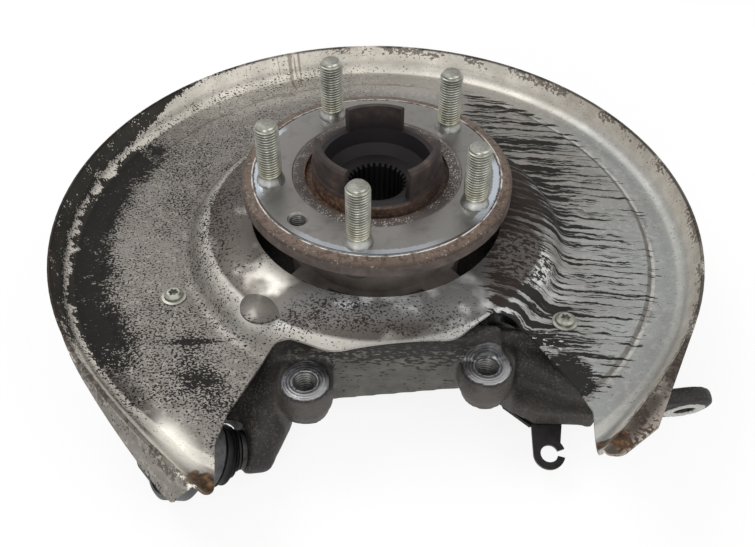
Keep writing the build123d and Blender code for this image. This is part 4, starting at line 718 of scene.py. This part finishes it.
# ============================================================ shapes
def grid_mesh(name, points, caps=True):
    """Mesh from an array of points [v, u, 3]: quads along both parameters, closed round u, with a
    cap on the first and last row where asked."""
    rows, columns, _ = points.shape
    index = np.arange(rows * columns).reshape(rows, columns)
    right = np.roll(index, -1, axis=1)
    quads = np.stack([index[:-1], right[:-1], right[1:], index[1:]], axis=-1)
    faces = quads.reshape(-1, 4).tolist()
    if caps:
        faces += [index[0, ::-1].tolist(), index[-1].tolist()]
    mesh = bpy.data.meshes.new(name)
    mesh.from_pydata((points.reshape(-1, 3) * MM).tolist(), [], faces)
    mesh.update()
    return mesh


def close_seams(mesh):
    """Merge doubled points and turn every face outwards."""
    bm = bmesh.new()
    bm.from_mesh(mesh)
    bmesh.ops.remove_doubles(bm, verts=bm.verts, dist=1e-6)
    bmesh.ops.recalc_face_normals(bm, faces=bm.faces)
    bm.to_mesh(mesh)
    bm.free()
    return mesh


def add_piece(name, mesh, body, material, node=None):
    """Put a mesh in the scene as a piece: it rides on a body and stands for a node where these are
    named."""
    piece = bpy.data.objects.new(name, mesh)
    bpy.context.scene.collection.objects.link(piece)
    mesh.materials.append(material)
    mesh.polygons.foreach_set("use_smooth", [True] * len(mesh.polygons))
    if body:
        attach(piece, body)
    if node:
        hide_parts(node)
    return piece


def thread_wave(z, turn, pitch):
    """Triangle wave, 0 to 1, that winds round the axis once a pitch: the distance of height over
    pitch, less the turn, from the nearest half."""
    return np.abs(((z / pitch - turn / FULL_TURN) % 1.0) * 2.0 - 1.0)


def stud_radius(z, turn):
    """Radius of a wheel stud in mm at a height and an angle: a core profile, less a 60 degree
    thread that fades at both ends. Gives the depth in the thread too, 0 at a crest, 1 at a root."""
    core = np.interp(z, STUD_HEIGHTS, STUD_RADII)
    ends = np.clip((z - THREAD_FROM) / 1.5, 0, 1) * np.clip((THREAD_TO - z) / 1.6, 0, 1)
    root = np.clip(thread_wave(z, turn, THREAD_PITCH) * 1.25 - 0.12, 0.0, 1.0) * ends
    return core - THREAD_DEPTH * root, root


def wheel_studs(material):
    """Five studs: each a surface of angle u and height v, radius from stud_radius."""
    heights = np.concatenate([
        np.linspace(STUD_FOOT, -12.2, 4), np.linspace(-12.1, THREAD_FROM - 0.2, 26),
        np.arange(THREAD_FROM, THREAD_TO, THREAD_PITCH / 8),
        np.linspace(THREAD_TO + 0.1, STUD_TIP, 6)])
    turns = np.linspace(0, FULL_TURN, 40, endpoint=False)
    z, turn = np.meshgrid(heights, turns, indexing="ij")
    radius, root = stud_radius(z, turn)
    for number in range(STUD_COUNT):
        angle = np.radians(STUD_START + 360.0 / STUD_COUNT * number)
        points = np.stack([STUD_CIRCLE_R * np.cos(angle) + radius * np.cos(turn),
                           STUD_CIRCLE_R * np.sin(angle) + radius * np.sin(turn), z], axis=-1)
        mesh = grid_mesh("wheel_stud", points)
        shade = mesh.attributes.new("root", "FLOAT", "POINT")
        shade.data.foreach_set("value", root.ravel().astype(np.float32))
        add_piece("wheel_stud_%d" % (number + 1), mesh, "hub", material,
                  "wheel_studs")


def tapped_hole(name, at, z_low, z_high, crest_r, root_r, pitch, body, material, slot):
    """Threaded wall of a hole: a closed tube whose inner radius swings between root and crest once
    a pitch, and whose outer radius lies just outside the root."""
    steps = int((z_high - z_low) / pitch * 8)
    heights = np.concatenate([np.linspace(z_high, z_low, 3), np.linspace(z_low, z_high, steps)])
    turns = np.linspace(0, FULL_TURN, 48, endpoint=False)
    z, turn = np.meshgrid(heights, turns, indexing="ij")
    crest = np.clip(1.3 * thread_wave(z, turn, pitch) - 0.15, 0.0, 1.0)
    lead = np.clip((z_high - z) / 1.2, 0.0, 1.0)
    radius = root_r - (root_r - crest_r) * crest * lead
    radius[:3] = root_r + 0.25
    points = np.stack([at[0] + radius * np.cos(turn), at[1] + radius * np.sin(turn), z], axis=-1)
    mesh = grid_mesh(name, np.concatenate([points, points[:1]], axis=0), caps=False)
    return add_piece(name, close_seams(mesh), body, material)


def cast_body(material):
    """Casting with the soft edges of a sand mould: the CAD shape filled by small cubes and relaxed,
    then every machined face and bore set back to its plane or radius."""
    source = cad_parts["knuckle_casting"].data.copy()
    bm = bmesh.new()
    bm.from_mesh(source)
    bmesh.ops.remove_doubles(bm, verts=bm.verts, dist=1e-5)
    bm.to_mesh(source)
    bm.free()
    blank = bpy.data.objects.new("casting_blank", source)
    bpy.context.scene.collection.objects.link(blank)
    skin = blank.modifiers.new("skin", "REMESH")
    skin.mode = "VOXEL"
    skin.voxel_size = MOULD_GRAIN * MM
    relax = blank.modifiers.new("relax", "SMOOTH")
    relax.factor = 0.5
    relax.iterations = 12
    relaxed = blank.evaluated_get(bpy.context.evaluated_depsgraph_get())
    mesh = bpy.data.meshes.new_from_object(relaxed)
    bpy.data.objects.remove(blank)
    points = np.empty(len(mesh.vertices) * 3, np.float32)
    mesh.vertices.foreach_get("co", points)
    points = points.reshape(-1, 3).astype(float) / MM
    for at in EAR_PLACES:
        points = face_and_bore(points, (*at, EAR_Z), (0, 0, 1), EAR_FACE_R, EAR_HOLE_R, EAR_DEPTH)
    points = face_and_bore(points, EYE_AT, EYE_AXIS, EYE_FACE_R, EYE_HOLE_R, EYE_DEPTH)
    points = face_and_bore(points, (0, 0, CASTING_BASE_Z), (0, 0, -1), BASE_FACE_R,
                           BEARING_BORE_R, BEARING_BORE_DEPTH)
    low, high = (np.array(corner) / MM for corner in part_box("knuckle_casting"))
    points = np.clip(points, low + 0.02, high - 0.02)
    mesh.vertices.foreach_set("co", (points * MM).astype(np.float32).ravel())
    mesh.materials.clear()
    mesh.update()
    return add_piece("cast_knuckle_body", mesh, "knuckle", material,
                     "knuckle_casting")


def over_axis(points, centre, axis):
    """Height of each point over a plane across an axis, its offset in the plane, and its distance
    from the axis."""
    away = points - centre
    height = away @ axis
    flat = away - height[:, None] * axis
    return height, flat, np.linalg.norm(flat, axis=1)


def face_and_bore(points, centre, axis, face_r, bore_r, depth):
    """Points near a flat round face are set on its plane, and those near its bore on the bore's
    radius, down to a depth."""
    centre = np.array(centre, float)
    axis = np.array(axis, float) / np.linalg.norm(axis)
    height, _, radius = over_axis(points, centre, axis)
    on_face = (np.abs(height) < FACE_REACH) & (radius < face_r) & (radius > bore_r - FACE_REACH)
    in_bore = (np.abs(radius - bore_r) < FACE_REACH) & (height < FACE_REACH) & (height > -depth)
    points = np.where(on_face[:, None], points - height[:, None] * axis, points)
    height, flat, radius = over_axis(points, centre, axis)
    stretch = bore_r / np.maximum(radius, 1e-6)
    set_to = centre + height[:, None] * axis + flat * stretch[:, None]
    return np.where(in_bore[:, None], set_to, points)


def boot_line(place):
    """Centre of the boot, and its two cross directions, at a place along it: 0 at the pin's band, 1
    at the housing's mouth; the line turns from the pin's tilt to the housing's."""
    bend_from, bend_over = BOOT_BEND
    bend = np.clip((place - bend_from) / bend_over, 0.0, 1.0)
    tilt = np.radians(PIN_TILT + JOINT_TILT * bend)
    way = np.radians(PIN_DIRECTION)
    flat = np.array([np.cos(way), np.sin(way), 0.0])
    up = np.array([0.0, 0.0, 1.0])
    axis = np.cos(tilt)[:, None] * flat + np.sin(tilt)[:, None] * up
    cross = np.cos(tilt)[:, None] * up - np.sin(tilt)[:, None] * flat
    side = np.array([-np.sin(way), np.cos(way), 0.0])
    centre = np.array(BALL_AT) + axis * (BOOT_START + (BOOT_END - BOOT_START) * place)[:, None]
    return centre, cross, side


def boot_share(name, start, end, material):
    """Part of the rubber boot between two places: a radius that swells at each fold, carried round
    the boot's line, with its inner wall one thickness in; it turns from one body to the next."""
    there = np.linspace(start, end, 28)
    place = np.concatenate([there, there[::-1]])
    knots = [np.interp(place + shift, BOOT_PLACES, BOOT_RADII) for shift in (-0.03, 0.0, 0.03)]
    radius = 0.25 * knots[0] + 0.5 * knots[1] + 0.25 * knots[2]
    radius[len(there):] -= BOOT_WALL
    turn = np.linspace(0, FULL_TURN, 56, endpoint=False)
    centre, cross, side = boot_line(place)
    spoke = np.cos(turn)[None, :, None] * cross[:, None, :] + np.sin(turn)[None, :, None] * side
    points = centre[:, None, :] + radius[:, None, None] * spoke
    mesh = grid_mesh(name, np.concatenate([points, points[:1]], axis=0), caps=False)
    piece = add_piece(name, close_seams(mesh), None, material, "ball_joint_boot")
    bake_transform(piece)


def dress_node(name, material):
    """Give a CAD node's object its finish."""
    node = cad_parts[name]
    node.data.materials.clear()
    node.data.materials.append(material)
    for slot in node.material_slots:
        slot.material = material


# ============================================================ studio
def make_floor():
    """Wide square of paper under the part."""
    side = FLOOR_HALF
    mesh = bpy.data.meshes.new("floor")
    mesh.from_pydata([(-side, -side, FLOOR_Z), (side, -side, FLOOR_Z),
                      (side, side, FLOOR_Z), (-side, side, FLOOR_Z)], [], [(0, 1, 2, 3)])
    mesh.materials.append(studio_paper())
    floor = bpy.data.objects.new("floor", mesh)
    bpy.context.scene.collection.objects.link(floor)


def make_world():
    """White world, softer on matt surfaces than where it is seen or mirrored."""
    world = bpy.data.worlds.new("studio")
    bpy.context.scene.world = world
    world.use_nodes = True
    tree = world.node_tree
    tree.nodes.clear()
    strength = add_node(tree, "MapRange", {}, {
        "Value": seen_white(tree), "To Min": SKY_STRENGTH, "To Max": 1.0})
    sky = add_node(tree, "Background", links={"Color": linear("#ffffff"), "Strength": strength})
    add_node(tree, "OutputWorld", links={"Surface": sky})


def make_lamps():
    """Soft round lamps turned to the part."""
    for name, place, width, power in LAMPS:
        lamp = bpy.data.lights.new(name, "AREA")
        lamp.shape = "DISK"
        lamp.size = width
        lamp.energy = power
        holder = bpy.data.objects.new(name, lamp)
        holder.location = place
        way = Vector(LAMP_AIM) - Vector(place)
        holder.rotation_euler = way.to_track_quat("-Z", "Y").to_euler()
        bpy.context.scene.collection.objects.link(holder)


def make_camera():
    """Camera above the front edge, rolled a little about its line of sight."""
    scene = bpy.context.scene
    camera = bpy.data.cameras.new("camera")
    camera.sensor_width = CAMERA_SENSOR
    camera.lens = CAMERA_LENS
    viewer = bpy.data.objects.new("camera", camera)
    viewer.location = CAMERA_AT
    aim = Vector(CAMERA_AIM) - viewer.location
    turn = aim.to_track_quat("-Z", "Y").to_matrix()
    roll = np.radians(CAMERA_ROLL)
    right = turn.col[0] * np.cos(roll) + turn.col[1] * np.sin(roll)
    up = turn.col[1] * np.cos(roll) - turn.col[0] * np.sin(roll)
    turn.col[0] = right
    turn.col[1] = up
    viewer.rotation_euler = turn.to_euler()
    scene.collection.objects.link(viewer)
    scene.camera = viewer
    scene.view_settings.view_transform = "Standard"


# ============================================================ the part
# Small parts: the nodes that wear a finish, then its name, dark and light tone, roughness and
# metallic, and where they differ from the usual the drift in mm, bump in mm and specular level.
SMALL_PARTS = (
    # bright ground steel: clean, pale and mirror-like between the races
    (("bearing_inner_ring", "outboard_bearing_balls", "inboard_bearing_balls"),
     "ground_bearing_steel", "#7c7c7e", "#b0b0b2", 0.28, 0.95),
    # phosphate coat: matt near-black that barely catches the light
    (("bearing_bolts", "boot_small_clip", "boot_large_clip", "ball_pin_clamp_bolt",
      "bracket_bolt"),
     "phosphated_bolt", "#1e1d1d", "#353230", 0.5, 0.4, 4.0, 0.04, 0.15),
    # moulded rubber: even soot black with a broad soft sheen
    (("outboard_bearing_seal", "inboard_bearing_seal", "speed_encoder_ring", "ball_joint_boot"),
     "moulded_rubber", "#121212", "#1f1e1e", 0.55, 0.0, 3.0, 0.08, 0.2),
    # glass-filled nylon: dull ochre
    (("outboard_ball_cage", "inboard_ball_cage"),
     "moulded_cage_plastic", "#6d5c35", "#86734a", 0.5, 0.0),
    # dip coat over forged steel: dark grey, cloudy, a little lumpy
    (("ball_joint_housing", "ball_joint_cap"),
     "dip_coated_joint_steel", "#2b2b2b", "#58585a", 0.45, 0.5, 6.0, 0.1),
    # greased steel pin: dark, between matt and wet
    (("ball_joint_stud",),
     "greased_pin_steel", "#252526", "#454546", 0.45, 0.4, 3.0, 0.04, 0.15),
    # forged ring with a thin brown bloom: warm grey, painted lighter than its own tone as painted
    # light against the shade under the hub flange
    (("bearing_outer_ring",),
     "forged_bearing_ring", "#6d655f", "#8f867e", 0.55, 0.1, 8.0, 0.1),
    # acetal seat: milky white
    (("ball_joint_seat",), "moulded_seat_plastic", "#c9c8c2", "#dcdbd6", 0.45, 0.0),
    # zinc plate: pale grey with a faint olive cast
    (("shield_screws",), "zinc_plated_screw", "#696a62", "#a3a398", 0.4, 0.8),
    # electrocoat: smooth black paint with a low gloss
    (("cable_bracket",), "black_electrocoat", "#141212", "#231f1f", 0.38, 0.1, 4.0, 0.04, 0.2),
    # freshly tapped iron: mid grey flanks that catch the light, also painted lighter as painted
    # light against the shade inside the holes
    ((), "tapped_thread_bright", "#3d3d3c", "#6f6e6a", 0.4, 0.7, 2.0),
)

FINISHES = {name: plain_finish(name, *values) for _, name, *values in SMALL_PARTS}
for nodes, finish, *_ in SMALL_PARTS:
    for node in nodes:
        dress_node(node, FINISHES[finish])
dress_node("splash_shield", galvanised_sheet())
dress_node("wheel_hub", turned_hub())
CAST_IRON = cast_iron()
dress_node("knuckle_casting", CAST_IRON)

cast_body(CAST_IRON)
TAPPED = FINISHES["tapped_thread_bright"]
for number, at in enumerate(EAR_PLACES):
    tapped_hole("ear_thread_%d" % (number + 1), at, EAR_Z - EAR_DEPTH + 1.0, EAR_Z - 0.3,
                EAR_HOLE_TAP_R, EAR_HOLE_R - 0.1, EAR_THREAD_PITCH, "knuckle", TAPPED,
                "cast_iron_knuckle")
tapped_hole("disc_screw_thread", SCREW_HOLE_AT, *SCREW_HOLE_Z, SCREW_HOLE_R - 0.6,
            SCREW_HOLE_R - 0.1, SCREW_THREAD_PITCH, "hub", TAPPED, "hub_steel")
wheel_studs(zinc_stud())
RUBBER = FINISHES["moulded_rubber"]
boot_share("boot_at_pin", 0.0, BOOT_SPLIT, RUBBER)
boot_share("boot_at_housing", BOOT_SPLIT, BOOT_PLACES[-1], RUBBER)

make_floor()
make_world()
make_lamps()
make_camera()
